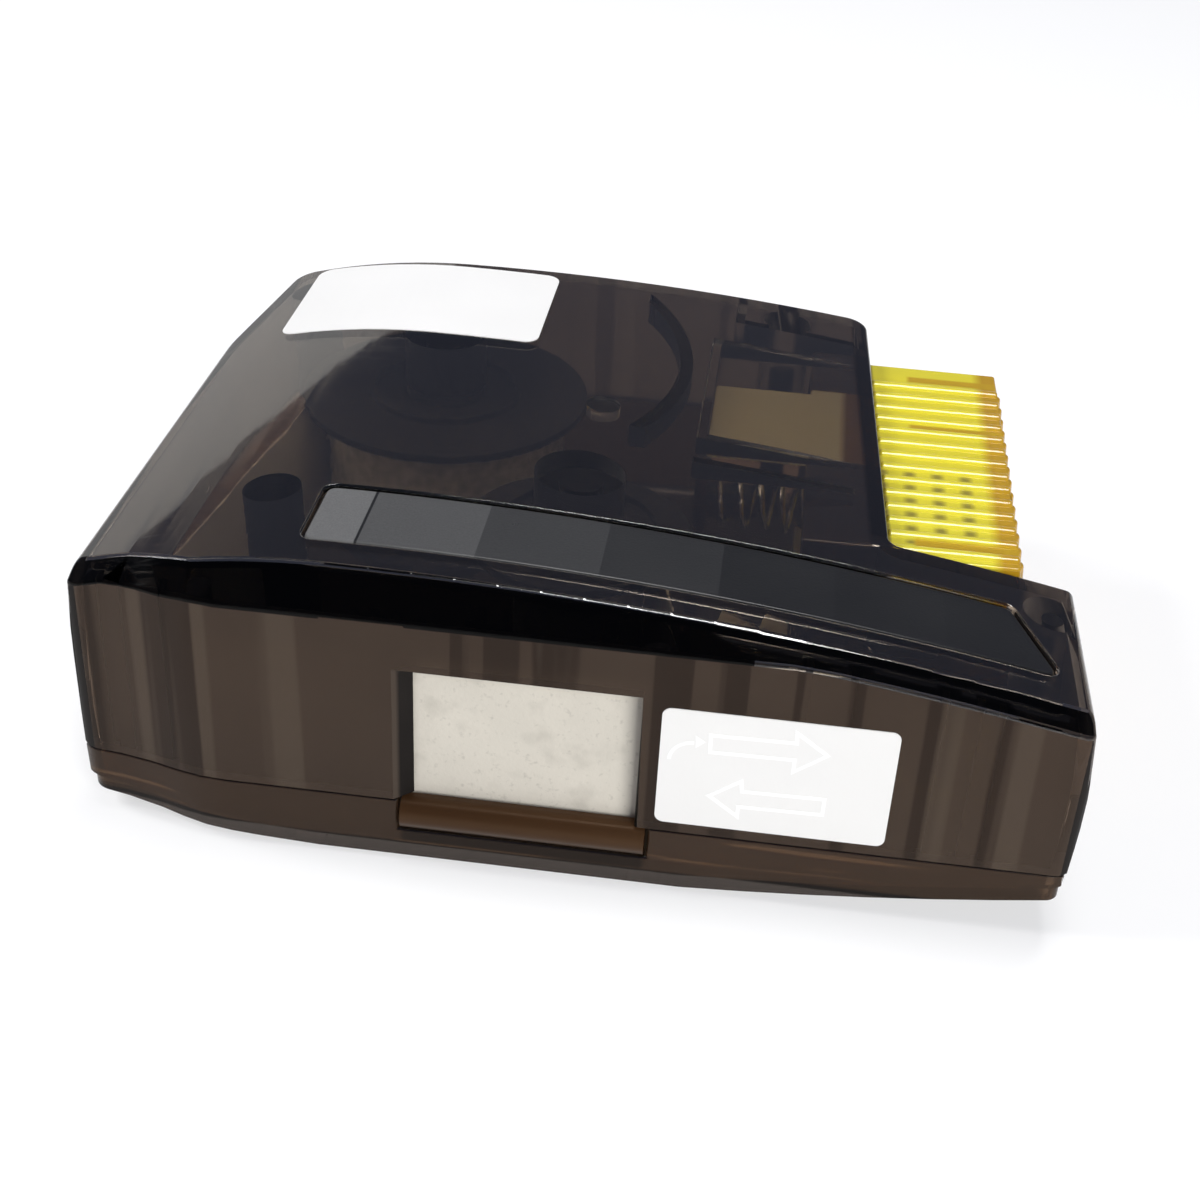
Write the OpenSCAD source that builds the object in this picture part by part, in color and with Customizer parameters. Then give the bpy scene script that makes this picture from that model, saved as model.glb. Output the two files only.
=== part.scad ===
// Squeeze-action cleaning cassette for optical fibre connectors, lying on its large lower face.
// X runs along the front wall with the cleaning window, Y goes back from it and Z is up.
// The origin is at the middle of the length and depth, on the surface that the case rests on.

/* [Case] */
// Length of the case along the front wall
case_l = 115; // [110:1:122]
// Depth of the case from the front wall to the back
case_d = 91; // [88:1:98]
// Height of the crowned top at its highest line
case_h = 37.5; // [37:0.5:41]
// Thickness of the case walls
wall = 1.8; // [1.4:0.1:2]
// Height of the seam between the shells along the front wall
seam_z = 8.8; // [8.6:0.1:9.4]
// Height of the seam along the side and back walls
side_seam_z = 17; // [15:0.5:20]
// Depth of the nose in front of the trigger
nose_d = 27.6; // [27:0.2:29]
// Width of the notch that the trigger stands in
notch_w = 23.1; // [22:0.2:24]

/* [Window] */
// Width of the cleaning window
window_w = 25.6; // [24:0.2:27]
// Distance from the highest line of the top down to the window
window_down = 10.7; // [10.2:0.1:12]
// Distance from the middle of the case to the window's middle, to the left
window_off = 4.3; // [3.5:0.1:5]

/* [Trigger] */
// Stroke of the trigger into the case
stroke = 12; // [10:0.5:12.5]
// Thickness of the trigger's walls
trigger_wall = 1.6; // [1.2:0.1:2]
// Number of finger ribs across the trigger
rib_count = 14; // [10:1:16]
// Height of the trigger's top
trigger_top = 30.9; // [29:0.1:31]

/* [Reels] */
// Width of the cleaning tape
tape_w = 15.5; // [14:0.5:16]
// Radius of the supply reel's flanges
supply_r = 19.5; // [17.5:0.5:20]
// Radius of the fresh tape on the supply reel
fresh_r = 16.5; // [12:0.5:17]
// Radius of the take-up reel's flanges
takeup_r = 14; // [12.5:0.5:14.5]
// Radius of the used tape on the take-up reel
used_r = 8.5; // [7.5:0.5:12]
// Radius of the spindles that the reels turn on
spindle_r = 2.6; // [2.2:0.1:2.8]

/* [Gears] */
// Tooth size of the racks and gears, their pitch divided by pi
tooth_size = 1; // [0.9:0.05:1]
// Teeth on the small gear of the shutter pinion
small_teeth = 9; // [9:1:10]
// Teeth on the large gear of the shutter pinion
large_teeth = 18; // [17:1:18]
// Teeth on the gear under the take-up reel
drive_teeth = 18; // [16:1:18]

/* [Hidden] */
$fn = 48;

// Clearances: parts that slide or turn, parts that only lie close, and the overrun of every cut
run_gap = 0.08;
free_gap = 0.35;
seat_gap = 0.05;
over = 1;

// The case outline seen from above
left_x = -case_l / 2;
right_x = case_l / 2;
front_y = -case_d / 2;
back_y = case_d / 2;
notch_x = right_x - notch_w;
nose_y = front_y + nose_d;
front_bend_l = 15.5;
front_knee_l = 7.5;
front_bend_x = left_x + front_bend_l;
front_knee_x = left_x + front_knee_l;
front_knee_in = 2.4;
front_corner_in = 3.2;
left_bend_l = 42.5;
left_mid_l = 26.5;
left_bend_y = back_y - left_bend_l;
left_mid_y = back_y - left_mid_l;
left_mid_in = 1.3;
left_back_in = 5.2;
right_back_in = 2.8;
back_skew = 3.1;
corner_r = 3;
nose_corner_r = 2.2;
notch_corner_r = 1.6;
soft_bend_r = 22;
corner_step = 12;

// The crown of the top, the belly of the bottom and the side walls seen from the front
crown_l = 30.5;
crown_left_drop = 5.39;
crown_right_drop = 8.67;
crown_x = left_x + crown_l;
crown_left_r = arc_r(crown_l, crown_left_drop);
crown_right_r = arc_r(right_x - crown_x, crown_right_drop);
belly_l = 49.5;
belly_rise = 5.4;
belly_x = left_x + belly_l;
belly_r = arc_r(right_x - belly_x, belly_rise);
rest_cut = 0.6;
waist_z = 17;
top_in = 1.1;
toe_in = 0.9;
edge_r = 1.1;
belly_steps = 16;
lip_h = 2.5;
lip_in = 0.8;
crown_left_steps = 12;
crown_right_steps = 18;

// The slope between the top and the front wall
ridge_in = 3.3;
slope_h = 4.7;
slope_low_z = case_h - slope_h;
slope_drop = 1.3;
slope_over = 0.06;
seam_gap = 0.1;

// The recessed strip and the two labels
strip_left_in = 26.7;
strip_back_in = 9.2;
strip_tip_in = 4.4;
strip_in = 8.5;
strip_w = 11.7;
strip_left_x = left_x + strip_left_in;
strip_back_x = right_x - strip_back_in;
strip_front_x = right_x - strip_tip_in;
strip_front_y = front_y + strip_in;
strip_back_y = strip_front_y + strip_w;
strip_depth = 0.7;
strip_t = 0.5;
strip_gap = 0.3;
label_t = 0.12;
rear_label_left_in = 8.5;
rear_label_back_in = 3.8;
rear_label_l = 35.7;
rear_label_d = 23.2;
rear_label_x = [left_x + rear_label_left_in, left_x + rear_label_left_in + rear_label_l];
rear_label_y = [back_y - rear_label_back_in - rear_label_d, back_y - rear_label_back_in];
rear_label_r = 2;
front_label_gap = 2.2;
front_label_up = 1.4;
front_label_l = 25.7;
front_label_h = 15.7;
front_label_r = 1;

// The window, the bar under it and the shutter behind it
window_x = [-window_off - window_w / 2, -window_off + window_w / 2];
window_top = case_h - window_down;
window_bevel = 3.2;
front_label_x = [window_x[1] + front_label_gap, window_x[1] + front_label_gap + front_label_l];
front_label_z = [seam_z + front_label_up, seam_z + front_label_up + front_label_h];
shutter_set = 0.6;
shutter_y = front_y + wall + shutter_set;
shutter_t = 0.9;
shutter_lap = 1.1;
shutter_top = window_top + shutter_lap;
bar_r = 2.1;
bar_drop = 0.1;
bar_z = seam_z - bar_r - bar_drop;
shutter_tail = 2;
shutter_low = bar_z - shutter_tail;
guide_t = 1.4;

// Gears: pitch radii, depth of a tooth outside and inside the pitch line, and the levels
small_r = tooth_size * small_teeth / 2;
large_r = tooth_size * large_teeth / 2;
drive_r = tooth_size * drive_teeth / 2;
tooth_out_share = 0.75;
tooth_in_share = 1.15;
tooth_thin_share = 0.32;
tooth_out = tooth_out_share * tooth_size;
tooth_in = tooth_in_share * tooth_size;
tooth_thin = tooth_thin_share * tooth_size;
rack_angle = 20;
gear_root_angle = 14;
gear_tip_angle = 26;
drive_z = 4.5;
shutter_z = 6.1;
gear_h = 2.2;
level_gap = 0.3;
shutter_travel = stroke * large_r / small_r;

// Reels, from the supply at the back left to the take-up in the middle
supply_left_in = 31.5;
supply_back_in = 25.5;
reel_gap = 1;
takeup_front_in = 31.5;
supply_at = [left_x + supply_left_in, back_y - supply_back_in];
trigger_in_l = 10.4;
trigger_in_x = notch_x - trigger_in_l;
takeup_at = [trigger_in_x - stroke - takeup_r - reel_gap, front_y + takeup_front_in];
reel_z = 9;
flange_t = 1;
flange_gap = 0.3;
tape_z = reel_z + flange_t + flange_gap;
reel_top = tape_z + tape_w + flange_gap;
hub_r = 6.4;
ring_r = 10.5;
ring_w = 0.9;
cap_h = 1.2;

// The tape's way over posts and pad: each entry is a centre and a radius, in the order of travel
tape_t = 0.3;
post_r = 2.1;
pad_set = 0.9;
pad_front_y = shutter_y + shutter_t + pad_set;
pad_r = 1.5;
pad_side_in = 1;
pad_x = [window_x[0] + pad_side_in, window_x[1] - pad_side_in];
pad_d = 3.6;
pad_end_in = 0.3;
pad_h = tape_w - 2 * pad_end_in;
wing_l = 11.5;
wing_t = 0.9;
wing_d = 3.5;
wing_step = 2.5;
post_1_in = [9.9, 14.5];
post_2_in = [13.4, 3.4];
post_3_in = [0.9, 6.8];
post_1 = [left_x, front_y] + post_1_in;
post_2 = [window_x[0] - post_2_in.x, pad_front_y + post_2_in.y];
post_3 = [window_x[1], pad_front_y] + post_3_in;
post_foot = 0.4;
stops = [
    [supply_at, fresh_r + free_gap],
    [post_1, post_r + seat_gap],
    [post_2, post_r + seat_gap],
    [[pad_x[0] + pad_r, pad_front_y + pad_r], pad_r + seat_gap],
    [[pad_x[1] - pad_r, pad_front_y + pad_r], pad_r + seat_gap],
    [post_3, post_r + seat_gap],
    [takeup_at, used_r + free_gap]
];

// The trigger and what it carries
trigger_back_in = 9.6;
trigger_front_gap = 0.5;
trigger_out_l = 15.7;
trigger_back_y = back_y - trigger_back_in;
trigger_front_y = nose_y + trigger_front_gap;
trigger_low = 6.9;
trigger_out_x = notch_x + trigger_out_l;
trigger_slope = 1.4;
rib_r = 1.2;
rib_up = 0.45;
rib_front_in = 2.1;
rib_back_in = 6.4;
gusset_back_in = [3.2, 18.2, 48.7];
gusset_t = 1.4;
gusset_h = 1.2;
gusset_in = 3;
tongue_l = 12.8;
tongue_back_in = [31.9, 13.9];
tongue_x = trigger_in_x - tongue_l;
tongue_y = [trigger_back_y - tongue_back_in[0], trigger_back_y - tongue_back_in[1]];
spring_back_in = 20;
spring_z = 16.5;
spring_at = [trigger_back_y - spring_back_in, spring_z];
spring_r = 3.6;
wire_r = 0.4;
spring_turns = 13;
spring_seat_x = trigger_in_x - stroke - free_gap;
seat_t = 1.8;
peg_r = 2.5;
peg_l = 6;
bar_t = 2.6;
rack_reach = 2;

// The shutter pinion stands so that its large gear meets the shutter's rack
rack_out = 3.7;
rack_arm_t = 1.2;
pinion_in = 7.4;
shutter_rack_y = shutter_y + shutter_t + rack_out;
pinion_at = [notch_x - pinion_in, shutter_rack_y + large_r];
link_y = pinion_at.y - small_r;
drive_y = takeup_at.y + drive_r;
axle_r = 1.5;
link_z = shutter_z + gear_h + level_gap;
link_h = 3.6;
arm_out = 10.4;
arm_w = 4.5;
arm_x = [notch_x + arm_out, notch_x + arm_out + arm_w];

// Ratchet under the take-up reel and its two pawls
ratchet_z = drive_z + gear_h + level_gap;
pawl_pin_h = 1.6;
ratchet_r = 6;
ratchet_depth = 0.9;
ratchet_count = 16;
pawl_t = 1.3;
pawl_pin_r = 0.8;
pawl_tip_r = ratchet_r + free_gap + seat_gap;
drive_pawl_out = [8.1, 0];
stop_pawl_out = [-12.4, 1.5];
drive_pawl_at = takeup_at + drive_pawl_out;
stop_pawl_at = takeup_at + stop_pawl_out;

// Screw pillars: place, and the height where the lower part ends
pillar_1_in = [20, 20.4];
pillar_2_in = [9.5, 10];
pillar_3_in = [14.4, 5.3];
pillar_4_in = [4.3, 5.5];
pillars = [
    [left_x + pillar_1_in.x, front_y + pillar_1_in.y], [left_x + pillar_2_in.x, back_y - pillar_2_in.y],
    [notch_x - pillar_3_in.x, back_y - pillar_3_in.y], [right_x - pillar_4_in.x, nose_y - pillar_4_in.y]
];
pillar_r = 3.4;
pillar_z = 12;
screw_r = 1.25;
screw_head_r = 2.5;
screw_head_h = 1.6;
screw_l = 14;

// Ribs under the top: rails by the trigger's tongue, an arc round the supply reel, a pocket and a boss
rib_t = 1.3;
rib_gap = 0.4;
rib_low = trigger_top + rib_up + rib_gap;
arc_rib_off = [-4.9, -1.8];
arc_rib_at = supply_at + arc_rib_off;
arc_rib_r = 38.8;
arc_rib_w = 1.8;
arc_rib_from = 3;
rail_out = [10, 3.5, 7.5];
rails_y = [tongue_y[0] - rail_out[0], tongue_y[0] - rail_out[1], tongue_y[1] + rail_out[2]];
pocket_in = [21.8, 3.4];
pocket_x = [notch_x - pocket_in[0], notch_x - pocket_in[1]];
pocket_back_in = 7.4;
pocket_h = 8;
boss_off = [0.5, 18.6];
boss_r = 2.2;
boss_h = 4;

// Upright ribs inside the front wall, by their distance from the left and the right end
wall_rib_t = 0.8;
wall_rib_d = 1.1;
wall_ribs_left = [4.6, 7.4, 12.4];
wall_ribs_right = [10.9, 13.3, 17.1, 26.9, 31.7];

// Plane geometry: a vector of length one, a turn, and a rounded corner as a run of points
function unit(v) = v / norm(v);
function turned(v, a) = [v.x * cos(a) - v.y * sin(a), v.x * sin(a) + v.y * cos(a)];
function bend(u, v) = atan2(u.x * v.y - u.y * v.x, u * v);
function corner(a, b, c, r) =
    r <= 0 ? [b] :
    let (u = unit(b - a), v = unit(c - b), w = bend(u, v), n = sign(w) * [-u.y, u.x],
         start = b - u * r * tan(abs(w) / 2), middle = start + n * r,
         steps = max(1, ceil(abs(w) / corner_step)))
    [for (i = [0 : steps]) middle + turned(start - middle, w * i / steps)];
function flat(p) = [p.x, p.y];
function rounded(ps) =
    let (n = len(ps))
    [for (i = [0 : n - 1])
        each corner(flat(ps[(i + n - 1) % n]), flat(ps[i]), flat(ps[(i + 1) % n]), ps[i].z)];

// The same corners moved inwards by d, on an outline that runs anticlockwise
function moved_in(ps, d) =
    let (n = len(ps))
    [for (i = [0 : n - 1])
        let (before = flat(ps[(i + n - 1) % n]), after = flat(ps[(i + 1) % n]),
             u = unit(flat(ps[i]) - before), v = unit(after - flat(ps[i])),
             nu = [-u.y, u.x], nv = [-v.y, v.x], at = flat(ps[i]) + (nu + nv) * d / (1 + nu * nv),
             r = ps[i].z <= 0 ? 0 : max(ps[i].z - sign(bend(u, v)) * d, seat_gap))
        [at.x, at.y, r]];

// Outline of the case seen from above
case_corners = [
    [left_x, front_y + front_corner_in, corner_r],
    [front_knee_x, front_y + front_knee_in, soft_bend_r],
    [front_bend_x, front_y, soft_bend_r],
    [right_x, front_y, nose_corner_r],
    [right_x, nose_y, nose_corner_r],
    [notch_x, nose_y, notch_corner_r],
    [notch_x - right_back_in, back_y, corner_r],
    [left_x + left_back_in, back_y - back_skew, corner_r],
    [left_x + left_mid_in, left_mid_y, soft_bend_r],
    [left_x, left_bend_y, soft_bend_r]
];

// Heights of the top and the bottom over a place along X
function arc_drop(dx, r) = r - sqrt(r * r - dx * dx);
function arc_r(l, drop) = (l * l + drop * drop) / (2 * drop);
function top_z(x) = case_h - arc_drop(x - crown_x, x < crown_x ? crown_left_r : crown_right_r);
function belly_z(x) = arc_drop(x - belly_x, belly_r) - rest_cut;
function span(a, b, n) = [for (i = [0 : n]) a + (b - a) * i / n];
function crown_stations() = concat(
    [for (x = span(left_x, crown_x, crown_left_steps)) if (x < crown_x) x],
    span(crown_x, right_x, crown_right_steps));

// Front view of the case, with its bottom raised by lift
function case_profile(lift) = concat(
    [for (x = span(left_x + toe_in, right_x - toe_in, belly_steps)) [x, max(belly_z(x), 0) + lift, 0]],
    [[right_x, waist_z, 0], [right_x - top_in, top_z(right_x - top_in), edge_r]],
    let (xs = crown_stations(), n = len(xs))
        [for (i = [n - 2 : -1 : 1]) [xs[i], top_z(xs[i]), 0]],
    [[left_x + top_in, top_z(left_x + top_in), edge_r], [left_x, waist_z, 0]]
);

// The solid block of the case, all its faces moved in by d
module outline_prism(d) {
    translate([0, 0, -case_h]) linear_extrude(3 * case_h) polygon(rounded(moved_in(case_corners, d)));
}
module profile_prism(d, lift = 0) {
    translate([0, case_d, 0]) rotate([90, 0, 0])
        linear_extrude(2 * case_d) polygon(rounded(moved_in(case_profile(lift), d)));
}

// What lies outside the slope that joins the top to the front wall, as one swept wedge
function wall_y(x) =
    x > front_bend_x ? front_y :
    x > front_knee_x ? front_y + front_knee_in * (front_bend_x - x) / (front_bend_x - front_knee_x) :
    front_y + front_knee_in + (front_corner_in - front_knee_in) * (front_knee_x - x) / front_knee_l;
function slope_foot(x) = min(slope_low_z, top_z(x) - slope_drop);
function slope_ring(x, d) =
    let (top = top_z(x), low = slope_foot(x), y = wall_y(x),
         u = unit([ridge_in, top - low]), n = [u.y, -u.x],
         low_at = [y, low] + n * d + u * (d * (1 - u.y) / u.x - slope_over),
         high_at = [y + ridge_in, top] + n * d - u * (d * (1 - u.x) / u.y - slope_over))
    [[x, low_at.x, low_at.y], [x, low_at.x - case_h, low_at.y], [x, low_at.x - case_h, high_at.y + case_h],
     [x, high_at.x, high_at.y + case_h], [x, high_at.x, high_at.y]];
module beyond_slope(d) {
    inside = crown_stations();
    xs = concat([left_x - over], inside, [right_x + over]);
    m = 5;
    last = len(xs) - 1;
    points = [for (x = xs) each slope_ring(x, d)];
    sides = [for (i = [0 : last - 1]) for (j = [0 : m - 1])
        let (a = i * m + j, b = i * m + (j + 1) % m)
        each [[a, b, b + m], [a, b + m, a + m]]];
    ends = [[for (j = [m - 1 : -1 : 0]) j], [for (j = [0 : m - 1]) last * m + j]];
    polyhedron(points, concat(sides, ends), convexity = 4);
}
module case_block(d) {
    difference() {
        intersection() {
            outline_prism(d);
            profile_prism(d);
        }
        beyond_slope(d);
    }
}

// The part of space that belongs to the lower shell
module lower_zone(gap) {
    side = [3 * case_l, 3 * case_d];
    translate([-side.x / 2, -side.y / 2, -case_h]) cube([side.x, side.y, case_h + seam_z - gap]);
    translate([-side.x / 2, front_y + front_corner_in + corner_r, -case_h])
        cube([side.x, side.y, case_h + side_seam_z - gap]);
}

// A box given by its ranges
module box(x, y, z) {
    translate([x[0], y[0], z[0]]) cube([x[1] - x[0], y[1] - y[0], z[1] - z[0]]);
}
module tube(at, r, z) {
    translate([at.x, at.y, z[0]]) cylinder(r = r, h = z[1] - z[0]);
}

// Openings that both shells share
module trigger_opening() {
    box([trigger_in_x, trigger_out_x + case_l], [nose_y, trigger_back_y + free_gap],
        [trigger_low - free_gap, trigger_top + rib_up + free_gap]);
    box([arm_x[0] - stroke - free_gap, arm_x[1] + free_gap], [nose_y - wall - over, nose_y + over],
        [link_z - free_gap, link_z + link_h + free_gap]);
}
module window_opening() {
    box(window_x, [front_y - over, front_y + wall + over], [seam_z - over, window_top]);
    translate([window_x[0], front_y + wall, seam_z - over])
        linear_extrude(window_top - seam_z + over)
            polygon([[0, 0], [-window_bevel, -wall - over], [over, -wall - over], [over, 0]]);
}

// The smoked upper shell: crowned top, side walls, ribs, spindle cups and screw pillars
module upper_shell() color("#3a3029") {
    difference() {
        union() {
            difference() {
                case_block(0);
                case_block(wall);
            }
            intersection() {
                union() {
                    upper_ribs();
                    for (p = pillars) tube(p, pillar_r, [pillar_z, case_h]);
                    tube(supply_at, hub_r - ring_w, [reel_top + flange_t + cap_h + free_gap, case_h]);
                    tube(takeup_at, hub_r - ring_w, [reel_top + flange_t + cap_h + free_gap, case_h]);
                }
                intersection() {
                    outline_prism(wall / 2);
                    profile_prism(wall / 2);
                }
            }
        }
        lower_zone(0);
        window_opening();
        trigger_opening();
        difference() {
            strip_prism(strip_gap);
            profile_prism(strip_depth);
        }
        for (p = pillars) tube(p, screw_r + run_gap, [pillar_z - over, pillar_z + screw_l]);
        tube(supply_at, spindle_r + run_gap, [reel_top, reel_top + flange_t + cap_h + 3 * cap_h]);
        tube(takeup_at, spindle_r + run_gap, [reel_top, reel_top + flange_t + cap_h + 3 * cap_h]);
    }
}
module upper_ribs() {
    for (y = rails_y) box([tongue_x - rib_t, notch_x], [y - rib_t / 2, y + rib_t / 2], [rib_low, case_h]);
    box([tongue_x - rib_t, tongue_x], [rails_y[1], rails_y[2]], [rib_low, case_h]);
    pocket_y = back_y - pocket_back_in;
    pocket_z = [case_h - pocket_h, case_h];
    box(pocket_x, [pocket_y - rib_t, pocket_y], pocket_z);
    for (x = [pocket_x[0], pocket_x[1] - rib_t]) box([x, x + rib_t], [pocket_y - rib_t, back_y], pocket_z);
    tube(takeup_at + boss_off, boss_r, [case_h - boss_h, case_h]);
    for (x = concat([for (d = wall_ribs_left) left_x + d], [for (d = wall_ribs_right) right_x - d]))
        box([x - wall_rib_t / 2, x + wall_rib_t / 2], [front_y, wall_y(x) + wall + wall_rib_d],
            [seam_z, slope_foot(x)]);
    intersection() {
        difference() {
            tube(arc_rib_at, arc_rib_r, [rib_low, case_h]);
            tube(arc_rib_at, arc_rib_r - arc_rib_w, [rib_low - over, case_h + over]);
        }
        box([takeup_at.x + arc_rib_from, case_l], [takeup_at.y + takeup_r, back_y], [0, case_h]);
    }
}

// The smoked lower shell: belly with a stepped lip, low walls, spindles, pillars and the spring's seat
module lower_shell() color("#33291f") {
    difference() {
        union() {
            difference() {
                intersection() {
                    union() {
                        intersection() {
                            outline_prism(0);
                            profile_prism(0, lip_h);
                        }
                        intersection() {
                            outline_prism(lip_in);
                            profile_prism(0);
                        }
                    }
                    lower_zone(seam_gap);
                }
                intersection() {
                    outline_prism(wall);
                    profile_prism(wall);
                }
            }
            intersection() {
                lower_posts();
                intersection() {
                    outline_prism(wall / 2);
                    profile_prism(wall / 2);
                }
            }
        }
        trigger_opening();
        rail_seat();
        for (p = pillars) {
            tube(p, screw_r + run_gap, [-over, pillar_z + over]);
            tube(p, screw_head_r + free_gap, [-over, belly_z(p.x) + rest_cut + screw_head_h]);
        }
    }
}
module lower_posts() {
    for (p = pillars) tube(p, pillar_r, [0, pillar_z]);
    tube(supply_at, spindle_r, [0, reel_top + flange_t + cap_h + free_gap + cap_h]);
    tube(supply_at, hub_r, [0, reel_z - 2 * free_gap - flange_t / 2]);
    tube(takeup_at, spindle_r, [0, reel_top + flange_t + cap_h + free_gap + cap_h]);
    tube(takeup_at, hub_r, [0, drive_z - free_gap]);
    box([spring_seat_x - seat_t, spring_seat_x], [spring_at.x - 2 * spring_r, spring_at.x + 2 * spring_r],
        [0, spring_at.y + 2 * spring_r]);
    translate([spring_seat_x, spring_at.x, spring_at.y]) rotate([0, 90, 0]) cylinder(r = peg_r, h = peg_l);
    for (p = [post_1, post_2, post_3]) tube(p, post_r + post_foot, [0, tape_z - 2 * free_gap]);
    tube(pinion_at, axle_r + wall, [0, shutter_z - free_gap]);
    tube(stop_pawl_at, pawl_pin_r + wall, [0, ratchet_z - free_gap]);
    box([pad_x[0], pad_x[1]], [pad_front_y + pad_d, pad_front_y + pad_d + wall], [0, tape_z - free_gap]);
}
module rail_seat() {
    box([window_x[0] - window_bevel / 2, window_x[1] + window_bevel / 2],
        [front_y - over, front_y + wall + over], [bar_z - bar_r, seam_z + over]);
}

// The printed strip let into the top, with its pointed right end
module strip_prism(grow) {
    translate([0, 0, waist_z]) linear_extrude(case_h)
        polygon(rounded(moved_in([
            [strip_left_x, strip_front_y, edge_r], [strip_front_x, strip_front_y, edge_r],
            [strip_back_x, strip_back_y, edge_r], [strip_left_x, strip_back_y, edge_r]], -grow)));
}
module accent_strip() color("#8b8b88") {
    difference() {
        intersection() {
            strip_prism(0);
            profile_prism(strip_depth - strip_t);
        }
        profile_prism(strip_depth);
    }
}

// Two bare paper labels, one on the top and one on the front wall
function frame_of(x, y, r) = [[x[0], y[0], r], [x[1], y[0], r], [x[1], y[1], r], [x[0], y[1], r]];
module rear_label() color("#f4f4f2") {
    difference() {
        intersection() {
            translate([0, 0, waist_z]) linear_extrude(case_h)
                polygon(rounded(frame_of(rear_label_x, rear_label_y, rear_label_r)));
            profile_prism(-label_t);
        }
        profile_prism(0);
    }
}
module front_label() color("#f2f0ea") {
    translate([0, front_y, 0]) rotate([90, 0, 0]) linear_extrude(label_t)
        polygon(rounded(frame_of(front_label_x, front_label_z, front_label_r)));
}

// The round-nosed bar under the window that the shutter runs behind
module window_rail() color("#5a4028") {
    x = [window_x[0] - window_bevel / 2 + free_gap, window_x[1] + window_bevel / 2 - free_gap];
    y = front_y + bar_r - wall / 2;
    intersection() {
        union() {
            translate([x[0], y, bar_z]) rotate([0, 90, 0]) cylinder(r = bar_r - seat_gap, h = x[1] - x[0]);
            box(x, [y, front_y + wall + seat_gap * 2], [bar_z - bar_r + seat_gap, bar_z + bar_r - seat_gap]);
        }
        box(x, [front_y - over, front_y + wall], [0, case_h]);
    }
}

// The metal shutter and the rack that slides it
module shutter_plate() color("#cfc8b6") {
    box([window_x[0] - shutter_lap, window_x[1] + shutter_lap], [shutter_y, shutter_y + shutter_t],
        [shutter_low, shutter_top]);
}
module shutter_rack() color("#d8d2c4") {
    x = [pinion_at.x - rack_reach, pinion_at.x + shutter_travel + rack_reach];
    y = shutter_y + shutter_t;
    rack(x, shutter_rack_y, shutter_rack_y - y, 1, pinion_at.x, shutter_z, gear_h);
    box([window_x[1] - window_bevel, x[0] + seat_gap], [y, y + rack_arm_t],
        [shutter_z, shutter_z + gear_h]);
}

// Two channels that keep the shutter against the inside of the front wall
module shutter_guide() color("#2c2622") {
    x = [front_bend_x, window_x[1] + shutter_lap];
    y = [shutter_y - free_gap / 2, shutter_y + shutter_t + free_gap + guide_t];
    difference() {
        box(x, y, [shutter_top - guide_t, shutter_top + free_gap + guide_t]);
        box([x[0] - over, x[1] + over], [y[0] - over, shutter_y + shutter_t + free_gap],
            [shutter_top - guide_t - over, shutter_top + free_gap]);
    }
}

// The frame that backs the pad, and the soft pad that presses the tape to the window
module pad_holder() color("#2e2a28") {
    y = pad_front_y + pad_d;
    z = [tape_z, tape_z + tape_w];
    box(pad_x, [y - wall + seat_gap, y + wall], z);
    for (x = [pad_x[0] + 2 * pad_r, pad_x[1] - 2 * pad_r - wall])
        box([x, x + wall], [y + wall, y + 3 * wall], [tape_z, shutter_top]);
    box([pad_x[0] - wing_l, pad_x[0] + over], [y + wall - wing_t, y + wall], z);
    for (i = [0 : 2])
        box([pad_x[0] - wing_l + i * wing_step, pad_x[0] - wing_l + i * wing_step + wing_t],
            [y + wall - wing_t, y + wall + wing_d], z);
}
module cleaning_pad() color("#d9d6cf") {
    translate([0, 0, tape_z + (tape_w - pad_h) / 2]) linear_extrude(pad_h) polygon(rounded([
        [pad_x[0], pad_front_y, pad_r], [pad_x[1], pad_front_y, pad_r],
        [pad_x[1], pad_front_y + pad_d - wall, 0], [pad_x[0], pad_front_y + pad_d - wall, 0]]));
}

// The stretch of tape between the reels: it keeps every post on its left
function leave(a, b) =
    let (d = b[0] - a[0], k = (a[1] - b[1]) / norm(d), u = unit(d))
    u * k + [u.y, -u.x] * sqrt(1 - k * k);
function angle_of(v) = atan2(v.y, v.x);
function wrap_points(i, extra) =
    let (s = stops[i], n = len(stops), from = leave(stops[max(i, 1) - 1], stops[max(i, 1)]),
         to = leave(stops[min(i, n - 2)], stops[min(i, n - 2) + 1]), w = bend(from, to),
         steps = max(1, ceil(abs(w) / corner_step)))
    [for (j = [0 : steps]) s[0] + turned(from, w * j / steps) * (s[1] + extra)];
function way_points(i, extra) =
    i == 0 || i == len(stops) - 1 ? [wrap_points(i, extra)[0]] : wrap_points(i, extra);
module tape_web() color("#e9e4d6") {
    n = len(stops);
    inner = [for (i = [0 : n - 1]) each way_points(i, 0)];
    outer = [for (i = [0 : n - 1]) each way_points(i, tape_t)];
    last = len(outer) - 1;
    translate([0, 0, tape_z]) linear_extrude(tape_w)
        polygon(concat(outer, [for (i = [last : -1 : 0]) inner[i]]));
}
module guide_posts() color("#b9bcc0") {
    for (p = [post_1, post_2, post_3]) tube(p, post_r, [tape_z - 2 * free_gap, tape_z + tape_w + free_gap]);
}

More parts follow.
